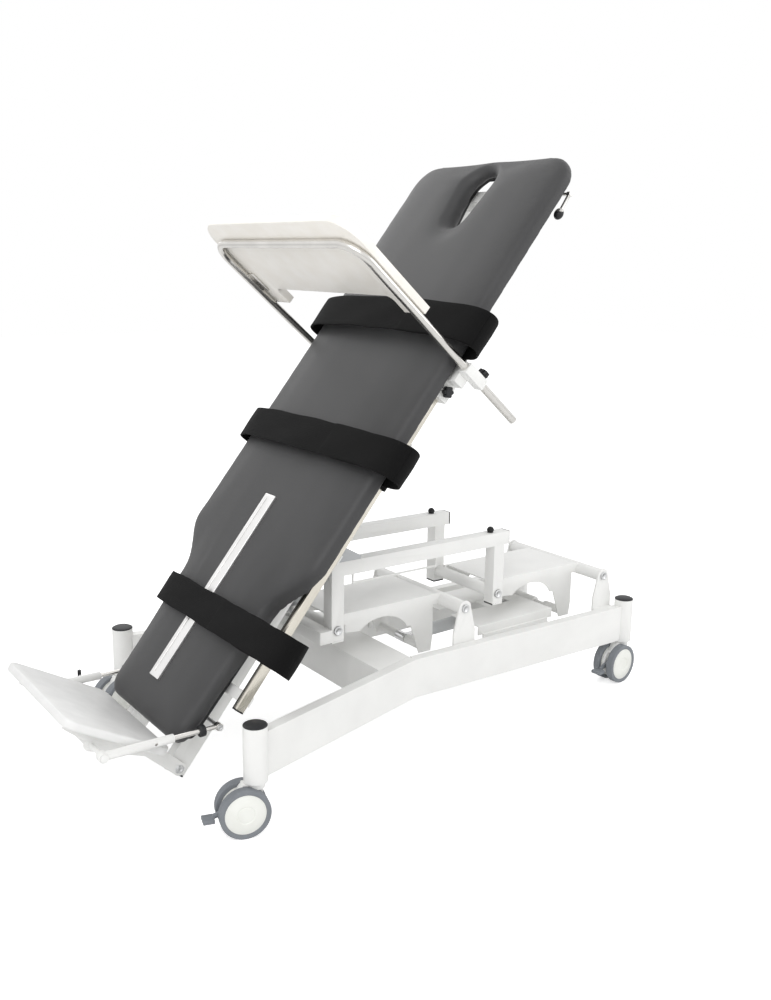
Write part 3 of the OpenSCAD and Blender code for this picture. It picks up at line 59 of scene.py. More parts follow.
def setCamera(v):
    cy, sy, cp, sp = math.cos(v["yaw"]), math.sin(v["yaw"]), math.cos(v["pitch"]), math.sin(v["pitch"])
    ahead = Vector((sy * cp, cy * cp, -sp))
    right = Vector((cy, -sy, 0))
    down = ahead.cross(right)
    cr, sr = math.cos(v["roll"]), math.sin(v["roll"])
    right, down = cr * right + sr * down, cr * down - sr * right
    data = bpy.data.cameras.new("studioCamera")
    data.lens = v["lens"]
    data.sensor_width = v["sensor"]
    data.clip_end = v["clipEnd"]
    cam = bpy.data.objects.new("studioCamera", data)
    bpy.context.scene.collection.objects.link(cam)
    cam.matrix_world = Matrix.Translation(v["place"]) @ Matrix((right, -down, -ahead)).transposed().to_4x4()
    bpy.context.scene.camera = cam


setCamera(view)

# The top's own frame: u to the head, w out of the pad, from the tilt pivot
topPivot = Vector((-0.198, 0, 0.6))
topAngle = math.radians(51.1)
alongTop = Vector((math.cos(topAngle), 0, math.sin(topAngle)))
outOfTop = Vector((-math.sin(topAngle), 0, math.cos(topAngle)))
topTurn = Matrix((alongTop, Vector((0, 1, 0)), outOfTop)).transposed().to_4x4()
topMatrix = Matrix.Translation(topPivot) @ topTurn


# Materials: each starts from a real finish. Its colour drifts slowly, over about 110, 70, 50 or 310 mm
drift = {"powder": 9, "metal": 14, "moulded": 20, "vinyl": 3.2}   # noise per metre


def linear(hexColour):
    parts = [int(hexColour[i:i + 2], 16) / 255 for i in (1, 3, 5)]
    return [p / 12.92 if p <= 0.04045 else ((p + 0.055) / 1.055) ** 2.4 for p in parts] + [1]


def addNode(tree, kind, values=None, **settings):
    made = tree.nodes.new("ShaderNode" + kind)
    for name, value in settings.items():
        setattr(made, name, value)
    for name, value in (values or {}).items():
        if isinstance(value, bpy.types.NodeSocket):
            tree.links.new(value, made.inputs[name])
        else:
            made.inputs[name].default_value = value
    return made


def startMaterial(name, coords="Object"):
    mat = bpy.data.materials.new(name)
    mat.use_nodes = True
    tree = mat.node_tree
    tree.nodes.clear()
    shader = addNode(tree, "BsdfPrincipled")
    addNode(tree, "OutputMaterial", {"Surface": shader.outputs[0]})
    where = addNode(tree, "TexCoord").outputs[coords]
    mat.diffuse_color = (0.8, 0.8, 0.8, 1)
    return mat, tree, shader, where


def blendColours(tree, factor, low, high, spread=(0.3, 0.7)):
    ramp = addNode(tree, "ValToRGB", {"Fac": factor})
    ramp.color_ramp.elements[0].position, ramp.color_ramp.elements[1].position = spread
    ramp.color_ramp.elements[0].color, ramp.color_ramp.elements[1].color = linear(low), linear(high)
    return ramp.outputs[0]


def roughBetween(tree, factor, low, high):
    return addNode(tree, "MapRange", {"Value": factor, "To Min": low, "To Max": high}).outputs[0]


def powderCoat(name, low, high, rough=0.42, peel=2.4):
    # Polyester powder on steel: faint orange peel, 1 mm in life and drawn at 2.4 mm to show
    mat, tree, shader, where = startMaterial(name)
    patches = addNode(tree, "TexNoise", {"Vector": where, "Scale": drift["powder"], "Detail": 3}).outputs[0]
    tree.links.new(blendColours(tree, patches, low, high), shader.inputs["Base Color"])
    skin = addNode(tree, "TexNoise", {"Vector": where, "Scale": 1000 / peel, "Detail": 1}).outputs[0]
    tree.links.new(roughBetween(tree, patches, rough - 0.05, rough + 0.06), shader.inputs["Roughness"])
    bump = addNode(tree, "Bump", {"Height": skin, "Strength": 0.06, "Distance": 0.0006})
    tree.links.new(bump.outputs[0], shader.inputs["Normal"])
    shader.inputs["IOR"].default_value = 1.5
    return mat


def metal(name, low, high, rough, grain=(4, 900, 900), turn=(0, 0, 0), depth=0.00006):
    # Bare metal: fine lines along the direction it was ground or drawn. Grain is noise per metre on each
    # axis, low along the lines and high across them
    mat, tree, shader, where = startMaterial(name)
    shader.inputs["Metallic"].default_value = 1
    turned = addNode(tree, "Mapping", {"Vector": where, "Rotation": turn}).outputs[0]
    lined = addNode(tree, "Mapping", {"Vector": turned, "Scale": grain}).outputs[0]
    lines = addNode(tree, "TexNoise", {"Vector": lined, "Scale": 1, "Detail": 2}).outputs[0]
    cloud = addNode(tree, "TexNoise", {"Vector": where, "Scale": drift["metal"], "Detail": 2}).outputs[0]
    tree.links.new(blendColours(tree, cloud, low, high), shader.inputs["Base Color"])
    tree.links.new(roughBetween(tree, lines, rough * 0.7, rough * 1.3), shader.inputs["Roughness"])
    bump = addNode(tree, "Bump", {"Height": lines, "Strength": 0.25, "Distance": depth})
    tree.links.new(bump.outputs[0], shader.inputs["Normal"])
    return mat


def mouldedPlastic(name, low, high, rough, texture=1.6, strength=0.12, ior=1.46):
    # Moulded ABS or nylon: spark-eroded texture of the mould
    mat, tree, shader, where = startMaterial(name)
    shader.inputs["IOR"].default_value = ior
    cloud = addNode(tree, "TexNoise", {"Vector": where, "Scale": drift["moulded"], "Detail": 2}).outputs[0]
    tree.links.new(blendColours(tree, cloud, low, high), shader.inputs["Base Color"])
    pits = addNode(tree, "TexNoise", {"Vector": where, "Scale": 1000 / texture, "Detail": 2}).outputs[0]
    tree.links.new(roughBetween(tree, cloud, rough - 0.05, rough + 0.05), shader.inputs["Roughness"])
    bump = addNode(tree, "Bump", {"Height": pits, "Strength": strength, "Distance": 0.0004})
    tree.links.new(bump.outputs[0], shader.inputs["Normal"])
    return mat


def embossedVinyl(name, low, high, cell=3, pore=1.5):
    # PU-coated vinyl over foam: leather grain 1 mm wide, drawn at 3 mm to show, with a soft sheen
    mat, tree, shader, where = startMaterial(name)
    shader.inputs["IOR"].default_value = 1.5
    shader.inputs["Sheen Weight"].default_value = 0.06
    shader.inputs["Sheen Roughness"].default_value = 0.45
    wide = addNode(tree, "TexNoise", {"Vector": where, "Scale": drift["vinyl"], "Detail": 4}).outputs[0]
    tree.links.new(blendColours(tree, wide, low, high), shader.inputs["Base Color"])
    cells = addNode(tree, "TexVoronoi", {"Vector": where, "Scale": 1000 / cell},
                    feature="DISTANCE_TO_EDGE").outputs["Distance"]
    fine = addNode(tree, "TexNoise", {"Vector": where, "Scale": 1000 / pore, "Detail": 2}).outputs[0]
    grain = addNode(tree, "Math", {0: cells, 1: fine}, operation="ADD").outputs[0]
    tree.links.new(roughBetween(tree, wide, 0.46, 0.58), shader.inputs["Roughness"])
    near = addNode(tree, "Bump", {"Height": grain, "Strength": 0.4, "Distance": 0.0009})
    tree.links.new(near.outputs[0], shader.inputs["Normal"])
    return mat


waveTurn = 6.283   # a wave texture repeats once in this many units of its scale


def wovenBand(name, low, high, rib=2.4):
    # Black polyester webbing faced with loop pile: ribs along the band, each 2.4 mm
    mat, tree, shader, where = startMaterial(name, "UV")
    shader.inputs["Sheen Weight"].default_value = 0.02
    shader.inputs["Specular IOR Level"].default_value = 0.2
    shader.inputs["Sheen Roughness"].default_value = 0.6
    fuzz = addNode(tree, "TexNoise", {"Vector": where, "Scale": 900, "Detail": 3}).outputs[0]
    ribs = addNode(tree, "TexWave",
                   {"Vector": where, "Scale": 1000 / rib / waveTurn, "Distortion": 0.6, "Detail": 1},
                   bands_direction="X", wave_type="BANDS").outputs["Fac"]
    ends = addNode(tree, "TexWave",
                   {"Vector": where, "Scale": 1000 / (rib * 0.7) / waveTurn, "Distortion": 0.4},
                   bands_direction="Y", wave_type="BANDS").outputs["Fac"]
    weave = addNode(tree, "Math", {0: ribs, 1: ends}, operation="MULTIPLY").outputs[0]
    both = addNode(tree, "Math", {0: weave, 1: fuzz}, operation="ADD").outputs[0]
    tree.links.new(blendColours(tree, both, low, high, (0.5, 1.4)), shader.inputs["Base Color"])
    shader.inputs["Roughness"].default_value = 0.93
    bump = addNode(tree, "Bump", {"Height": both, "Strength": 0.5, "Distance": 0.0009})
    tree.links.new(bump.outputs[0], shader.inputs["Normal"])
    return mat


# Powder coat: an even satin colour, whose highlights break up a little on the orange peel
whiteCoat = powderCoat("whitePowderCoat", "#ebebe9", "#f1f1ef")
greyCoat = powderCoat("greyPowderCoat", "#b3b5b7", "#bdbfc1", 0.45)
# Stainless strip polished along the rails, and tube along the tray's arms: warm white, streaked highlights
drawnSteel = metal("polishedStainless", "#dcd7cb", "#e8e3d8", 0.26, (6, 700, 700), (0, topAngle, 0))
tubeSteel = metal("polishedTube", "#d6d4d0", "#e2e0dc", 0.24, (500, 500, 8), (0, topAngle, 0))
# Hard chrome on a ground rod: close to a mirror
chromeRod = metal("chromedRod", "#d5d5d6", "#dededf", 0.09, (300, 300, 300))
# Zinc plate on bolts and shafts: pale grey, with a dull shine
zincPlate = metal("zincPlate", "#d2d3d4", "#dcdddd", 0.34, (220, 220, 220))
# Nylon and ABS mouldings: one even colour, with a low, broad highlight over the mould's fine texture
blackNylon = mouldedPlastic("blackNylon", "#1b1c1e", "#232427", 0.5)
greyNylon = mouldedPlastic("greyNylon", "#7b7f84", "#85898e", 0.5)
motorCasing = mouldedPlastic("paleMotorCasing", "#bfc1c2", "#c9cbcc", 0.45)
whiteAbs = mouldedPlastic("whiteAbs", "#eeeeec", "#f5f5f3", 0.36, 1.2, 0.06)
# Rubber buffers and polyurethane treads: close to matt
blackRubber = mouldedPlastic("blackRubber", "#1a1a1b", "#242425", 0.8, 2.0, 0.2, 1.52)
greyTread = mouldedPlastic("greyTread", "#787c81", "#82868b", 0.62, 1.4, 0.14)
# Polypropylene wheel discs: cream and smooth
creamDisc = mouldedPlastic("creamDisc", "#e9eae4", "#f0f1ec", 0.4, 1.2, 0.05)
# Vinyl cover: charcoal, with a fine leather grain
padVinyl = embossedVinyl("charcoalVinyl", "#333334", "#3e3e3f")
# Textured coat on the board: black and dull
blackBoard = mouldedPlastic("blackBoardCoat", "#1d1d1e", "#262627", 0.6, 3.0, 0.2)
# Melamine laminate of the tray, and the footboard's plastic panel: nearly white, with wide soft highlights
trayLaminate = mouldedPlastic("whiteTrayLaminate", "#f6f2ea", "#fbf8f2", 0.33, 2.5, 0.05)
footPanel = mouldedPlastic("paleFootPanel", "#e6e6e5", "#eeeeed", 0.45, 2.0, 0.1)
# Anodised aluminium track: pale and satin, brushed along its length
satinAluminium = metal("satinAnodisedAluminium", "#eeedec", "#f6f5f4", 0.4, (5, 600, 600), (0, topAngle, 0))
# Polyester webbing and hook tape: black cloth with hardly any highlight
bandCloth = wovenBand("blackWebbing", "#050505", "#0e0e0f")
hookCloth = wovenBand("blackHookFace", "#040404", "#0b0b0c", 1.6)
print("materials made:", len(bpy.data.materials))


def deselectAll():
    if bpy.context.object and bpy.context.object.mode != "OBJECT":
        bpy.ops.object.mode_set(mode="OBJECT")
    bpy.ops.object.select_all(action="DESELECT")


def makeActive(piece):
    deselectAll()
    piece.hide_viewport = False
    piece.select_set(True)
    bpy.context.view_layer.objects.active = piece


def applyModifiers(piece):
    makeActive(piece)
    for mod in list(piece.modifiers):
        bpy.ops.object.modifier_apply(modifier=mod.name)


def newObject(name, mesh):
    made = bpy.data.objects.new(name, mesh)
    bpy.context.scene.collection.objects.link(made)
    return made


def addCylinder(vertices, radius, depth, place=(0, 0, 0), turn=(0, 0, 0)):
    bpy.ops.mesh.primitive_cylinder_add(vertices=vertices, radius=radius, depth=depth,
                                        location=place, rotation=turn)
    return bpy.context.object


def addBevel(piece, width, angle, segments=2):
    edge = piece.modifiers.new("edge", "BEVEL")
    edge.width = width
    edge.segments = segments
    edge.limit_method = "ANGLE"
    edge.angle_limit = math.radians(angle)


def smoothUpTo(piece, angle):
    makeActive(piece)
    bpy.ops.object.shade_smooth_by_angle(angle=math.radians(angle))


def joinAll(parts):
    deselectAll()
    for part in parts:
        part.select_set(True)
    bpy.context.view_layer.objects.active = parts[0]
    bpy.ops.object.join()
    return bpy.context.object


def bodyOf(node):
    for body, nodes in frame["record"]["behaviour"]["bodies"].items():
        if node in nodes:
            return body


mending = {"doubles": 0.00002, "flat": math.radians(0.6)}   # a CAD node's triangles become whole faces


def copyOfNode(node, name):
    made = newObject(name, frame["nodes"][node].data.copy())
    made.data.materials.clear()
    makeActive(made)
    bpy.ops.object.mode_set(mode="EDIT")
    bpy.ops.mesh.select_all(action="SELECT")
    bpy.ops.mesh.remove_doubles(threshold=mending["doubles"])
    bpy.ops.mesh.dissolve_limited(angle_limit=mending["flat"])
    bpy.ops.object.mode_set(mode="OBJECT")
    return made


def finish(piece, material, node):
    if material:
        piece.data.materials.clear()
        piece.data.materials.append(material)
    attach(piece, bodyOf(node))
    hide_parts(node)


# Angles in degrees: edges sharper than the first are rounded, and the shading is smooth up to the others
easing = {"from": 40, "smooth": 35, "smoothRails": 10}


def easedCopy(node, material, radius, smoothTo):
    piece = copyOfNode(node, node + "_eased")
    addBevel(piece, radius, easing["from"])
    applyModifiers(piece)
    smoothUpTo(piece, smoothTo)
    finish(piece, material, node)


# The padded top: foam under one taut vinyl cover, with a rolled lip round the face opening
pad = {
    "voxel": 0.0095,     # remesh size
    "smooth": (0.5, 3),  # factor and rounds after it
    "shrink": 0.003,     # taken off before the foam swells
    "cap": 0.005,        # most that a point may move
    "taut": 14,          # rounds of evening that pull the cover taut
    "lip": 0.03,         # radius of the rolled lip
    "lipFrom": 0.014,    # height over the board where the lip starts to roll
    "lipOver": 0.03,     # height in which it rolls fully
    "lipEven": 6,        # rounds of evening at the lip
    "lipFade": 3,        # how fast that sets in from the lip's outer edge
    "boardRim": 0.024,   # how much wider the board's cut-out shows behind the foam
    "boardReach": 0.012,   # how far from the opening the board's cut-out is looked for
    "opening": ((1.1519, 0.052), (1.0301, 0.0312)),   # u and radius of its wide and narrow ends
    "flatFrom": 0.069,   # height of the board's face, where the foam stays flat
    "flatUpTo": 0.002,   # height over it that stays flat too
    "freeOver": 0.012,   # height in which the foam becomes free to swell
    "heldUnder": 0.02,   # share of freedom under which it is held
    "frames": 20,
    "cloth": {"quality": 6, "mass": 0.3, "tension_stiffness": 25, "bending_stiffness": 4,
              "use_pressure": True, "uniform_pressure_force": 4.0, "vertex_group_mass": "held"},
}

# Every solid with its finish and the radius of its edges in metres
solids = {
    "base_rails": (whiteCoat, 0.004), "base_posts": (whiteCoat, 0.001),
    "post_caps": (blackNylon, 0.0015), "base_cross_beams": (whiteCoat, 0.003),
    "pivot_brackets": (whiteCoat, 0.0012), "base_bolts": (zincPlate, 0.001),
    "lift_cover": (whiteCoat, 0.003), "arm_head": (whiteCoat, 0.001), "arm_foot": (whiteCoat, 0.001),
    "lift_frame_sides": (whiteCoat, 0.0025), "lift_frame_cross": (whiteCoat, 0.002),
    "lift_frame_caps": (blackNylon, 0.001), "rubber_buffers": (blackRubber, 0.001),
    "tilt_brackets": (greyCoat, 0.001), "frame_bolts": (zincPlate, 0.001),
    "hanger_wire": (whiteCoat, 0.0008), "tilt_motor": (motorCasing, 0.0015),
    "tilt_rod": (chromeRod, 0.0008), "lift_motor": (motorCasing, 0.0015),
    "lift_rod": (chromeRod, 0.0008), "top_frame": (whiteCoat, 0.002), "tilt_lever": (whiteCoat, 0.001),
    "board": (blackBoard, 0.0015), "side_rails": (drawnSteel, 0.0015),
    "rail_clips": (whiteCoat, 0.001), "top_caps": (blackNylon, 0.0012),
    "divider_track": (satinAluminium, 0.001), "foot_bolts": (zincPlate, 0.001),
    "head_lever": (tubeSteel, 0.0006), "rail_clamps": (whiteAbs, 0.0015),
    "arm_sleeves": (whiteAbs, 0.0015), "tray_frame": (tubeSteel, 0.0006),
    "tray_top": (trayLaminate, 0.004), "knob_clamp_near": (blackNylon, 0.0012),
    "knob_clamp_far": (blackNylon, 0.0012), "knob_sleeve_near": (blackNylon, 0.0012),
    "knob_sleeve_far": (blackNylon, 0.0012), "foot_frame": (whiteCoat, 0.001),
    "footboard": (footPanel, 0.004), "brace_tubes": (whiteCoat, 0.001),
    "brace_rods": (tubeSteel, 0.0008), "brace_knobs": (blackNylon, 0.0025),
    "lock_pin": (chromeRod, 0.001),
}
corners = ("foot_near", "foot_far", "head_near", "head_far")
for corner in corners:
    solids["pedal_" + corner] = (greyNylon, 0.0015)
for node, (material, radius) in solids.items():
    easedCopy(node, material, radius, easing["smoothRails" if node == "base_rails" else "smooth"])
print("eased solids:", len(solids))


def paintFaces(node, material, chosen):
    mesh = bpy.data.objects[node + "_eased"].data
    mesh.materials.append(material)
    for face in mesh.polygons:
        if chosen(face.center):
            face.material_index = 1


def openBoard():
    # The board's cut-out stays well behind the soft lip, so daylight shows through the opening
    wide, narrow = pad["opening"]
    toTop = topMatrix.inverted()
    for v in bpy.data.objects["board_eased"].data.vertices:
        q = toTop @ v.co
        t = min(1, max(0, (q[0] - narrow[0]) / (wide[0] - narrow[0])))
        away = Vector((q[0] - (narrow[0] + t * (wide[0] - narrow[0])), q[1], 0))
        if away.length < narrow[1] + t * (wide[1] - narrow[1]) + pad["boardReach"]:
            v.co = topMatrix @ (q + away.normalized() * pad["boardRim"])


socket = {"area": 5e-5, "corners": 8, "sideways": 0.98, "rim": 0.0045, "wall": 0.0004, "depth": 0.0022}


def sinkSockets(node):
    # A socket in each bolt head and shaft end, whose faces have many corners
    piece = bpy.data.objects[node + "_eased"]
    makeActive(piece)
    bpy.ops.object.mode_set(mode="EDIT")
    bpy.ops.mesh.select_mode(type="FACE")
    bpy.ops.mesh.select_all(action="DESELECT")
    bpy.ops.object.mode_set(mode="OBJECT")
    for face in piece.data.polygons:
        sideways = abs(face.normal[1]) > socket["sideways"]
        face.select = sideways and face.area > socket["area"] and len(face.vertices) > socket["corners"]
    found = sum(face.select for face in piece.data.polygons)
    if found:
        bpy.ops.object.mode_set(mode="EDIT")
        bpy.ops.mesh.inset(thickness=socket["rim"], use_individual=True)
        bpy.ops.mesh.inset(thickness=socket["wall"], depth=-socket["depth"], use_individual=True)
        bpy.ops.object.mode_set(mode="OBJECT")
    print(node, "sockets:", found)


openBoard()
for node in ("base_bolts", "frame_bolts", "foot_bolts"):
    sinkSockets(node)

# The lever ends in a black knob, the cross tube's caps are white like the tube, the lock pin has a black grip
leverKnob, capFace, pinGrip = 0.022, 0.0005, 0.0105
leverLow = min(v.co[2] for v in bpy.data.objects["head_lever_eased"].data.vertices)
paintFaces("head_lever", blackNylon, lambda c: c[2] < leverLow + leverKnob)
sidesOut = max(abs(v.co[1]) for v in bpy.data.objects["lift_frame_sides_eased"].data.vertices)
paintFaces("lift_frame_caps", whiteCoat, lambda c: abs(c[1]) > sidesOut - capFace)
pinOut = max(abs(v.co[1]) for v in bpy.data.objects["lock_pin_eased"].data.vertices)
paintFaces("lock_pin", blackNylon, lambda c: abs(c[1]) > pinOut - pinGrip)


def evened(piece, values, rounds):
    # Each round mixes a point's value with the mean of its neighbours
    own, others = 0.3, 0.7
    ends = np.empty(len(piece.data.edges) * 2, dtype=np.int64)
    piece.data.edges.foreach_get("vertices", ends)
    a, b = ends[0::2], ends[1::2]
    count = np.maximum(np.bincount(ends, minlength=len(values)), 1)[:, None]
    for _ in range(rounds):
        total = np.zeros_like(values)
        np.add.at(total, a, values[b])
        np.add.at(total, b, values[a])
        values = own * values + others * total / count
    return values


def rollLip(piece, start, toTop):
    # The opening is two circles and their tangents: u, radius of each
    wide, narrow = pad["opening"]
    local = start @ toTop[:3, :3].T + toTop[:3, 3]
    t = np.clip((local[:, 0] - narrow[0]) / (wide[0] - narrow[0]), 0, 1)
    away = np.hypot(local[:, 0] - (narrow[0] + t * (wide[0] - narrow[0])), local[:, 1])
    away = away - (narrow[1] + t * (wide[1] - narrow[1]))
    reach = np.clip(1 - away / pad["lip"], 0, 1)
    drop = pad["lip"] * (1 - np.sqrt(1 - reach ** 2))
    up = np.clip((local[:, 2] - pad["flatFrom"] - pad["lipFrom"]) / pad["lipOver"], 0, 1)
    rolled = start - np.outer(drop * up, np.array(outOfTop[:]))
    near = np.clip(reach * pad["lipFade"], 0, 1)[:, None]
    return rolled * (1 - near) + evened(piece, rolled, pad["lipEven"]) * near


def makePad():
    piece = copyOfNode("pad", "padCushion")
    remesh = piece.modifiers.new("remesh", "REMESH")
    remesh.mode = "VOXEL"
    remesh.voxel_size = pad["voxel"]
    applyModifiers(piece)
    smooth = piece.modifiers.new("even", "SMOOTH")
    smooth.factor, smooth.iterations = pad["smooth"]
    applyModifiers(piece)
    count = len(piece.data.vertices)
    toTop = np.array(topMatrix.inverted())
    start = np.empty(count * 3)
    piece.data.vertices.foreach_get("co", start)
    start = start.reshape(-1, 3)
    normals = np.array([v.normal[:] for v in piece.data.vertices])
    height = start @ toTop[2, :3] + toTop[2, 3]
    free = np.clip((height - pad["flatFrom"] - pad["flatUpTo"]) / pad["freeOver"], 0, 1)[:, None]
    start = start - normals * pad["shrink"] * free
    start = rollLip(piece, start, toTop)
    piece.data.vertices.foreach_set("co", start.ravel())
    group = piece.vertex_groups.new(name="held")
    group.add([int(i) for i in np.nonzero(free[:, 0] < pad["heldUnder"])[0]], 1.0, "REPLACE")
    cloth = piece.modifiers.new("foam", "CLOTH")
    for setting, value in pad["cloth"].items():
        setattr(cloth.settings, setting, value)
    cloth.settings.effector_weights.gravity = 0
    cloth.collision_settings.use_collision = False
    cloth.point_cache.frame_end = pad["frames"]
    scene = bpy.context.scene
    for step in range(1, pad["frames"] + 1):
        scene.frame_set(step)
    grown = piece.evaluated_get(bpy.context.evaluated_depsgraph_get()).data
    after = np.empty(count * 3)
    grown.vertices.foreach_get("co", after)
    move = after.reshape(-1, 3) - start
    far = np.linalg.norm(move, axis=1, keepdims=True)
    move *= np.minimum(1, pad["cap"] / np.maximum(far, 1e-9))
    move = evened(piece, move * free, pad["taut"]) * free
    piece.modifiers.remove(cloth)
    piece.vertex_groups.clear()
    piece.data.vertices.foreach_set("co", (start + move).ravel())
    scene.frame_set(1)
    most = float(np.linalg.norm(move, axis=1).max()) * 1000
    print("pad swelled by up to", round(most, 1), "mm")
    soft = piece.modifiers.new("soft", "SUBSURF")
    soft.levels = soft.render_levels = 1
    applyModifiers(piece)
    makeActive(piece)
    bpy.ops.object.shade_smooth()
    finish(piece, padVinyl, "pad")


makePad()
print("pad made")

# Straps: the side rail that they go round, and webbing paths across the top, y and w in millimetres
rail = {"y": 0.272, "halfWide": 0.01, "low": 0.029, "high": 0.054}
webbing = {
    "thick": 0.005,
    "room": 0.006,        # thickness that the loop round the rail leaves room for
    "gap": 0.001,         # between that and the rail
    "corner": 0.004,      # cut of the loop's corners round the rail
    "endStep": 0.001,     # how far the loop leans out where it leaves the rail
    "step": 0.006,        # between points of a path
    "columns": 8,
    "slack": 0.0009,      # unevenness of the cloth, and of its edges
    "edgeWave": 0.0012,
    "waves": (23, 5, 7, 31),   # radians per metre along it, and the second per width across
    "hem": 0.3,           # share of the thickness that the edges are rounded by
    "hemFrom": 50,        # degrees, from which an edge is rounded and the shading breaks
    "flapThick": 0.003,
    "flapShare": 0.98,    # of the strap's width
    "flapLift": 0.0048,   # over the strap's middle layer
    "flapFrom": (-0.34, 0.12),   # y and w where the flap starts, and y where it ends
    "flapTo": -0.13,
}
strapSizes = {
    "strap_chest": {"run": 0.642, "width": 0.104,
                    "near": [(-350, 58), (-388, 76), (-408, 104), (-398, 130), (-350, 147)],
                    "over": [(-250, 158), (-100, 164), (0, 165), (100, 163), (250, 153)],
                    "far": [(320, 140), (352, 122), (357, 96), (346, 70), (310, 58)]},
    "strap_middle": {"run": 0.236, "width": 0.096,
                     "near": [(-350, 56), (-398, 74), (-423, 104), (-410, 132), (-355, 148)],
                     "over": [(-250, 156), (-100, 160), (0, 161), (100, 158), (250, 150)],
                     "far": [(310, 140), (344, 124), (351, 98), (342, 70), (310, 58)]},
    "strap_ankle": {"run": -0.304, "width": 0.088,
                    "near": [(-350, 58), (-420, 76), (-464, 110), (-452, 142), (-380, 156)],
                    "over": [(-250, 158), (-100, 155), (0, 153), (80, 151), (160, 146)],
                    "far": [(205, 137), (232, 120), (246, 96), (258, 76), (274, 64)]},
}


def railLoop(side):
    away, corner = webbing["room"] / 2 + webbing["gap"], webbing["corner"]
    outer, inner = rail["y"] + rail["halfWide"] + away, rail["y"] - rail["halfWide"] - away
    low, high = rail["low"] - away, rail["high"] + away
    loop = [(inner, high - 2 * corner), (inner, low + corner), (inner + corner, low), (outer - corner, low),
            (outer, low + corner), (outer + webbing["endStep"], high - corner / 2)]
    return [(side * y, z) for y, z in loop]


def smoothPath(points):
    # A Catmull-Rom curve through the points
    path = []
    p = [Vector(points[0])] + [Vector(q) for q in points] + [Vector(points[-1])]
    for i in range(1, len(p) - 2):
        before, here, after, beyond = p[i - 1:i + 3]
        n = max(2, int((after - here).length / webbing["step"]))
        for k in range(n):
            t = k / n
            square = (2 * before - 5 * here + 4 * after - beyond) * t * t
            cube = (3 * here - before - 3 * after + beyond) * t ** 3
            path.append(0.5 * (2 * here + (after - before) * t + square + cube))
    return path + [p[-2]]


def makeBand(name, path, run, width, thick, material, lift=0.0):
    columns, waves = webbing["columns"], webbing["waves"]
    verts, faces, uvs, far = [], [], [], 0
    for i, q in enumerate(path):
        ahead = (path[min(i + 1, len(path) - 1)] - path[max(i - 1, 0)]).normalized()
        if i:
            far += (q - path[i - 1]).length
        across = Vector((-ahead[1], ahead[0]))
        for c in range(columns + 1):
            t = c / columns
            sag = webbing["slack"] * math.sin(far * waves[0] + t * waves[1]) * math.sin(far * waves[2])
            edge = webbing["edgeWave"] * math.sin(far * waves[3]) * (2 * t - 1)
            place = q + across * (sag + lift)
            verts.append(topMatrix @ Vector((run + (t - 0.5) * width + edge, place[0], place[1])))
            uvs.append((t * width, far))
    for i in range(len(path) - 1):
        for c in range(columns):
            a = i * (columns + 1) + c
            faces.append((a, a + columns + 1, a + columns + 2, a + 1))
    mesh = bpy.data.meshes.new(name)
    mesh.from_pydata(verts, [], faces)
    layer = mesh.uv_layers.new(name="bandMap")
    for loop in mesh.loops:
        layer.data[loop.index].uv = uvs[loop.vertex_index]
    piece = newObject(name, mesh)
    wall = piece.modifiers.new("wall", "SOLIDIFY")
    wall.thickness = thick
    wall.offset = 0
    addBevel(piece, thick * webbing["hem"], webbing["hemFrom"])
    applyModifiers(piece)
    makeActive(piece)
    bpy.ops.object.mode_set(mode="EDIT")
    bpy.ops.mesh.select_all(action="SELECT")
    bpy.ops.mesh.normals_make_consistent(inside=False)
    bpy.ops.object.mode_set(mode="OBJECT")
    smoothUpTo(piece, webbing["hemFrom"])
    piece.data.materials.append(material)
    return piece, far


for node, size in strapSizes.items():
    millimetres = [(y / 1000, z / 1000) for y, z in size["near"] + size["over"] + size["far"]]
    path = smoothPath(railLoop(-1) + millimetres + list(reversed(railLoop(1))))
    band, length = makeBand(node + "_band", path, size["run"], size["width"], webbing["thick"], bandCloth)
    finish(band, None, node)
    # The loose end, folded back over the near side and pressed on with hook tape
    startY, startW = webbing["flapFrom"]
    first = next(i for i, q in enumerate(path) if q[0] < startY and q[1] > startW)
    last = next(i for i, q in enumerate(path) if q[0] > webbing["flapTo"])
    flapWidth = size["width"] * webbing["flapShare"]
    flap, flapLength = makeBand(node + "_flap", path[first:last], size["run"], flapWidth,
                                webbing["flapThick"], hookCloth, webbing["flapLift"])
    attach(flap, "top")
print("straps made")

# Caster bodies: the web between the wheels, a round hub cover and the collar, modelled once and copied
caster = {
    "web": 0.0132,        # half of the hub cover's thickness
    "axle": (-0.033, 0, 0.0625),
    "hub": 0.047,         # radius of the hub cover
    "collar": 0.022,
    "collarHigh": 0.014,
    "top": 0.129,         # where the stem meets the post
    "edge": 0.0012,
    "sides": 72,
    "pin": (-0.067, 0, 0.0665),     # the pedal's, with the radius of its bore and a length past the body
    "pinHole": 0.0033,
    "pinReach": 0.1,
    "pinSides": 48,
    "slot": (0.031, 0.01, 0.08),    # where the pedal swings
    "slotBack": 0.0045,
    # Planes that cut the body back to its web: a place on each, and the way to what goes
    "planes": (((0, 0.0132, 0), (0, 1, 0)), ((0, -0.0132, 0), (0, -1, 0)), ((-0.0755, 0, 0), (-1, 0, 0)),
               ((-0.0336, 0, 0.129), (-0.817, 0, 0.576)), ((0.0095, 0, 0.0725), (0.99, 0, -0.142))),
}
joints = {joint["name"]: joint for joint in frame["joints"]}


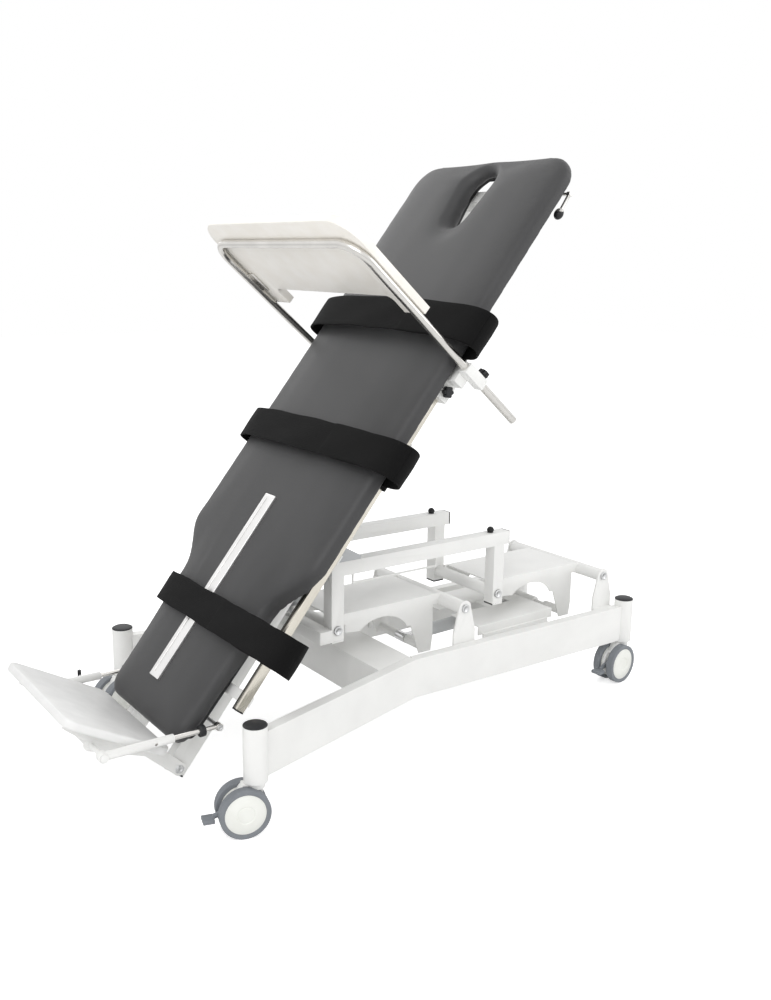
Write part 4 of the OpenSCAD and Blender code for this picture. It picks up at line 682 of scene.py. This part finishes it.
def casterFrame(corner):
    stem, axle = Vector(joints["swivel_" + corner]["pos_m"]), Vector(joints["roll_" + corner]["pos_m"])
    ahead = Vector((stem[0] - axle[0], stem[1] - axle[1], 0)).normalized()
    up = Vector((0, 0, 1))
    turn = Matrix((ahead, up.cross(ahead), up)).transposed().to_4x4()
    return Matrix.Translation((stem[0], stem[1], 0)) @ turn


acrossY = (math.pi / 2, 0, 0)   # turns a cylinder's axis to Y


def pedalSlot():
    x, y, z = caster["pin"]
    bpy.ops.mesh.primitive_cube_add(size=1, location=(x - caster["slotBack"], y, z))
    bpy.context.object.scale = caster["slot"]
    return bpy.context.object


def pedalBore():
    return addCylinder(caster["pinSides"], caster["pinHole"], caster["pinReach"], caster["pin"], acrossY)


def cutAway(piece, cutter):
    cut = piece.modifiers.new("cut", "BOOLEAN")
    cut.solver = "EXACT"
    cut.operation = "DIFFERENCE"
    cut.object = cutter
    applyModifiers(piece)
    bpy.data.objects.remove(cutter)


def makeCasterBody():
    piece = copyOfNode("caster_foot_near", "casterPattern")
    piece.data.transform(casterFrame("foot_near").inverted())
    makeActive(piece)
    bpy.ops.object.mode_set(mode="EDIT")
    for place, outwards in caster["planes"]:
        bpy.ops.mesh.select_all(action="SELECT")
        bpy.ops.mesh.bisect(plane_co=place, plane_no=outwards, use_fill=True, clear_outer=True)
    bpy.ops.object.mode_set(mode="OBJECT")
    parts = [piece]
    collarMiddle = (0, 0, caster["top"] - caster["collarHigh"] / 2)
    for radius, depth, place, turn in (
            (caster["hub"], 2 * caster["web"], caster["axle"], acrossY),
            (caster["collar"], caster["collarHigh"], collarMiddle, (0, 0, 0))):
        deselectAll()
        parts.append(addCylinder(caster["sides"], radius, depth, place, turn))
        bpy.ops.object.transform_apply(location=True, rotation=True, scale=False)
    # The pedal swings in a slot of the hub cover, on a pin with room round it
    cutAway(piece, pedalBore())
    cutAway(parts[1], pedalBore())
    cutAway(parts[1], pedalSlot())
    joinAll(parts)
    addBevel(piece, caster["edge"], easing["from"])
    applyModifiers(piece)
    smoothUpTo(piece, easing["smooth"])
    return piece


patternCaster = makeCasterBody()
for corner in corners:
    body = newObject("caster_" + corner + "_body", patternCaster.data.copy())
    body.data.transform(casterFrame(corner))
    finish(body, whiteAbs, "caster_" + corner)
bpy.data.objects.remove(patternCaster)
print("caster bodies made")

# Casters' wheels, modelled once and copied
wheel = {
    "radius": 0.0625,
    "width": 0.023,
    "sides": 64,
    "gauge": 0.05,       # between the two wheels' middles
    "tyre": 0.011,
    "axle": 0.004,
    "axleEdge": 0.0005,
    "axleSides": 24,
    "axleEdgeFrom": 30,   # degrees
    "discEdge": 0.0012,  # from the tyre to the disc's colour
    "facing": 0.9,       # from which a face counts as one of the two sides
    # Rings of each side inside the tyre, from the outermost: width and step out
    "rings": ((0.0008, -0.0022), (0.0016, 0.0012), (0.026, 0.0016), (0.0012, -0.0012), (0.003, 0),
              (0.0008, 0.0008)),
    # Rounding of the tread and of the rings: width, from which angle, segments
    "eases": ((0.0035, 70, 3), (0.0004, 35, 2)),
}


def makeWheel():
    deselectAll()
    piece = addCylinder(wheel["sides"], wheel["radius"], wheel["width"], turn=acrossY)
    bpy.ops.object.transform_apply(location=False, rotation=True, scale=False)
    bpy.ops.object.mode_set(mode="EDIT")
    bpy.ops.mesh.select_mode(type="FACE")
    bpy.ops.object.mode_set(mode="OBJECT")
    for face in piece.data.polygons:
        face.select = abs(face.normal[1]) > wheel["facing"]
    bpy.ops.object.mode_set(mode="EDIT")
    for ring, stepOut in ((wheel["tyre"], 0), *wheel["rings"]):
        bpy.ops.mesh.inset(thickness=ring, depth=stepOut, use_individual=True)
    bpy.ops.object.mode_set(mode="OBJECT")
    for width, angle, segments in wheel["eases"]:
        addBevel(piece, width, angle, segments)
    applyModifiers(piece)
    piece.data.materials.append(greyTread)
    piece.data.materials.append(creamDisc)
    disc = wheel["radius"] - wheel["tyre"] - wheel["discEdge"]
    for face in piece.data.polygons:
        face.material_index = int(math.hypot(face.center[0], face.center[2]) < disc)
    smoothUpTo(piece, easing["smooth"])
    return piece


def makeAxle():
    deselectAll()
    piece = addCylinder(wheel["axleSides"], wheel["axle"], wheel["gauge"], turn=acrossY)
    addBevel(piece, wheel["axleEdge"], wheel["axleEdgeFrom"], segments=1)
    applyModifiers(piece)
    bpy.ops.object.transform_apply(location=False, rotation=True, scale=False)
    piece.data.materials.append(zincPlate)
    return piece


patternWheel, patternAxle = makeWheel(), makeAxle()
for joint in frame["joints"]:
    if not joint["name"].startswith("roll_"):
        continue
    node = joint["name"].replace("roll_", "wheels_")
    axis = Vector(joint["axis"]).normalized()
    turned = Vector((0, 1, 0)).rotation_difference(axis).to_matrix().to_4x4()
    placed = Matrix.Translation(Vector(joint["pos_m"])) @ turned
    parts = []
    for pattern, offset in ((patternWheel, -1), (patternWheel, 1), (patternAxle, 0)):
        part = newObject("part", pattern.data.copy())
        part.data.transform(placed @ Matrix.Translation((0, offset * wheel["gauge"] / 2, 0)))
        parts.append(part)
    pair = joinAll(parts)
    pair.name = node + "_pair"
    finish(pair, None, node)
for pattern in (patternWheel, patternAxle):
    bpy.data.objects.remove(pattern)
print("wheels made")

# Floor and light
studio = {"floorSize": 30, "floorDrop": 0.0005, "floorGlow": 0.55, "ambient": 0.8, "backdrop": 1.0}
deselectAll()
bpy.ops.mesh.primitive_plane_add(size=studio["floorSize"], location=(0, 0, -studio["floorDrop"]))
floor = bpy.context.object
floor.name = "studioFloor"
floorMat = bpy.data.materials.new("paleFloor")
floorMat.use_nodes = True
floorTree = floorMat.node_tree
floorTree.nodes.clear()
matt = addNode(floorTree, "BsdfDiffuse", {"Color": linear("#f6f6f6")})
glow = addNode(floorTree, "Emission", {"Color": linear("#ffffff"), "Strength": studio["floorGlow"]})
both = addNode(floorTree, "AddShader", {0: matt.outputs[0], 1: glow.outputs[0]})
seen = addNode(floorTree, "LightPath").outputs["Is Camera Ray"]
mixed = addNode(floorTree, "MixShader", {0: seen, 1: matt.outputs[0], 2: both.outputs[0]})
addNode(floorTree, "OutputMaterial", {"Surface": mixed.outputs[0]})
floor.data.materials.append(floorMat)

world = bpy.data.worlds.new("studioWorld")
bpy.context.scene.world = world
world.use_nodes = True
sky = world.node_tree
sky.nodes.clear()
rays = addNode(sky, "LightPath")
seen = addNode(sky, "Math", {0: rays.outputs["Is Camera Ray"], 1: rays.outputs["Is Glossy Ray"]},
               operation="MAXIMUM").outputs[0]
ambient = addNode(sky, "Background", {"Color": linear("#ffffff"), "Strength": studio["ambient"]})
white = addNode(sky, "Background", {"Color": linear("#ffffff"), "Strength": studio["backdrop"]})
choice = addNode(sky, "MixShader", {0: seen, 1: ambient.outputs[0], 2: white.outputs[0]})
addNode(sky, "OutputWorld", {"Surface": choice.outputs[0]})

lamps = {   # place, aimed at, size in metres, watts
    "keyLamp": ((-2.6, -2.2, 3.2), (0.1, 0, 0.7), 2.2, 52),
    "fillLamp": ((2.8, -2.6, 2.2), (0.2, 0, 0.6), 2.6, 26),
    "rimLamp": ((0.5, 3.0, 3.0), (0, 0, 0.6), 2.4, 22),
}
for name, (place, aim, size, watts) in lamps.items():
    data = bpy.data.lights.new(name, "AREA")
    data.size = size
    data.energy = watts
    lamp = newObject(name, data)
    aimed = (Vector(aim) - Vector(place)).to_track_quat("-Z", "Y").to_matrix().to_4x4()
    lamp.matrix_world = Matrix.Translation(place) @ aimed
bpy.context.scene.view_settings.view_transform = "Standard"
print("stage and light set")
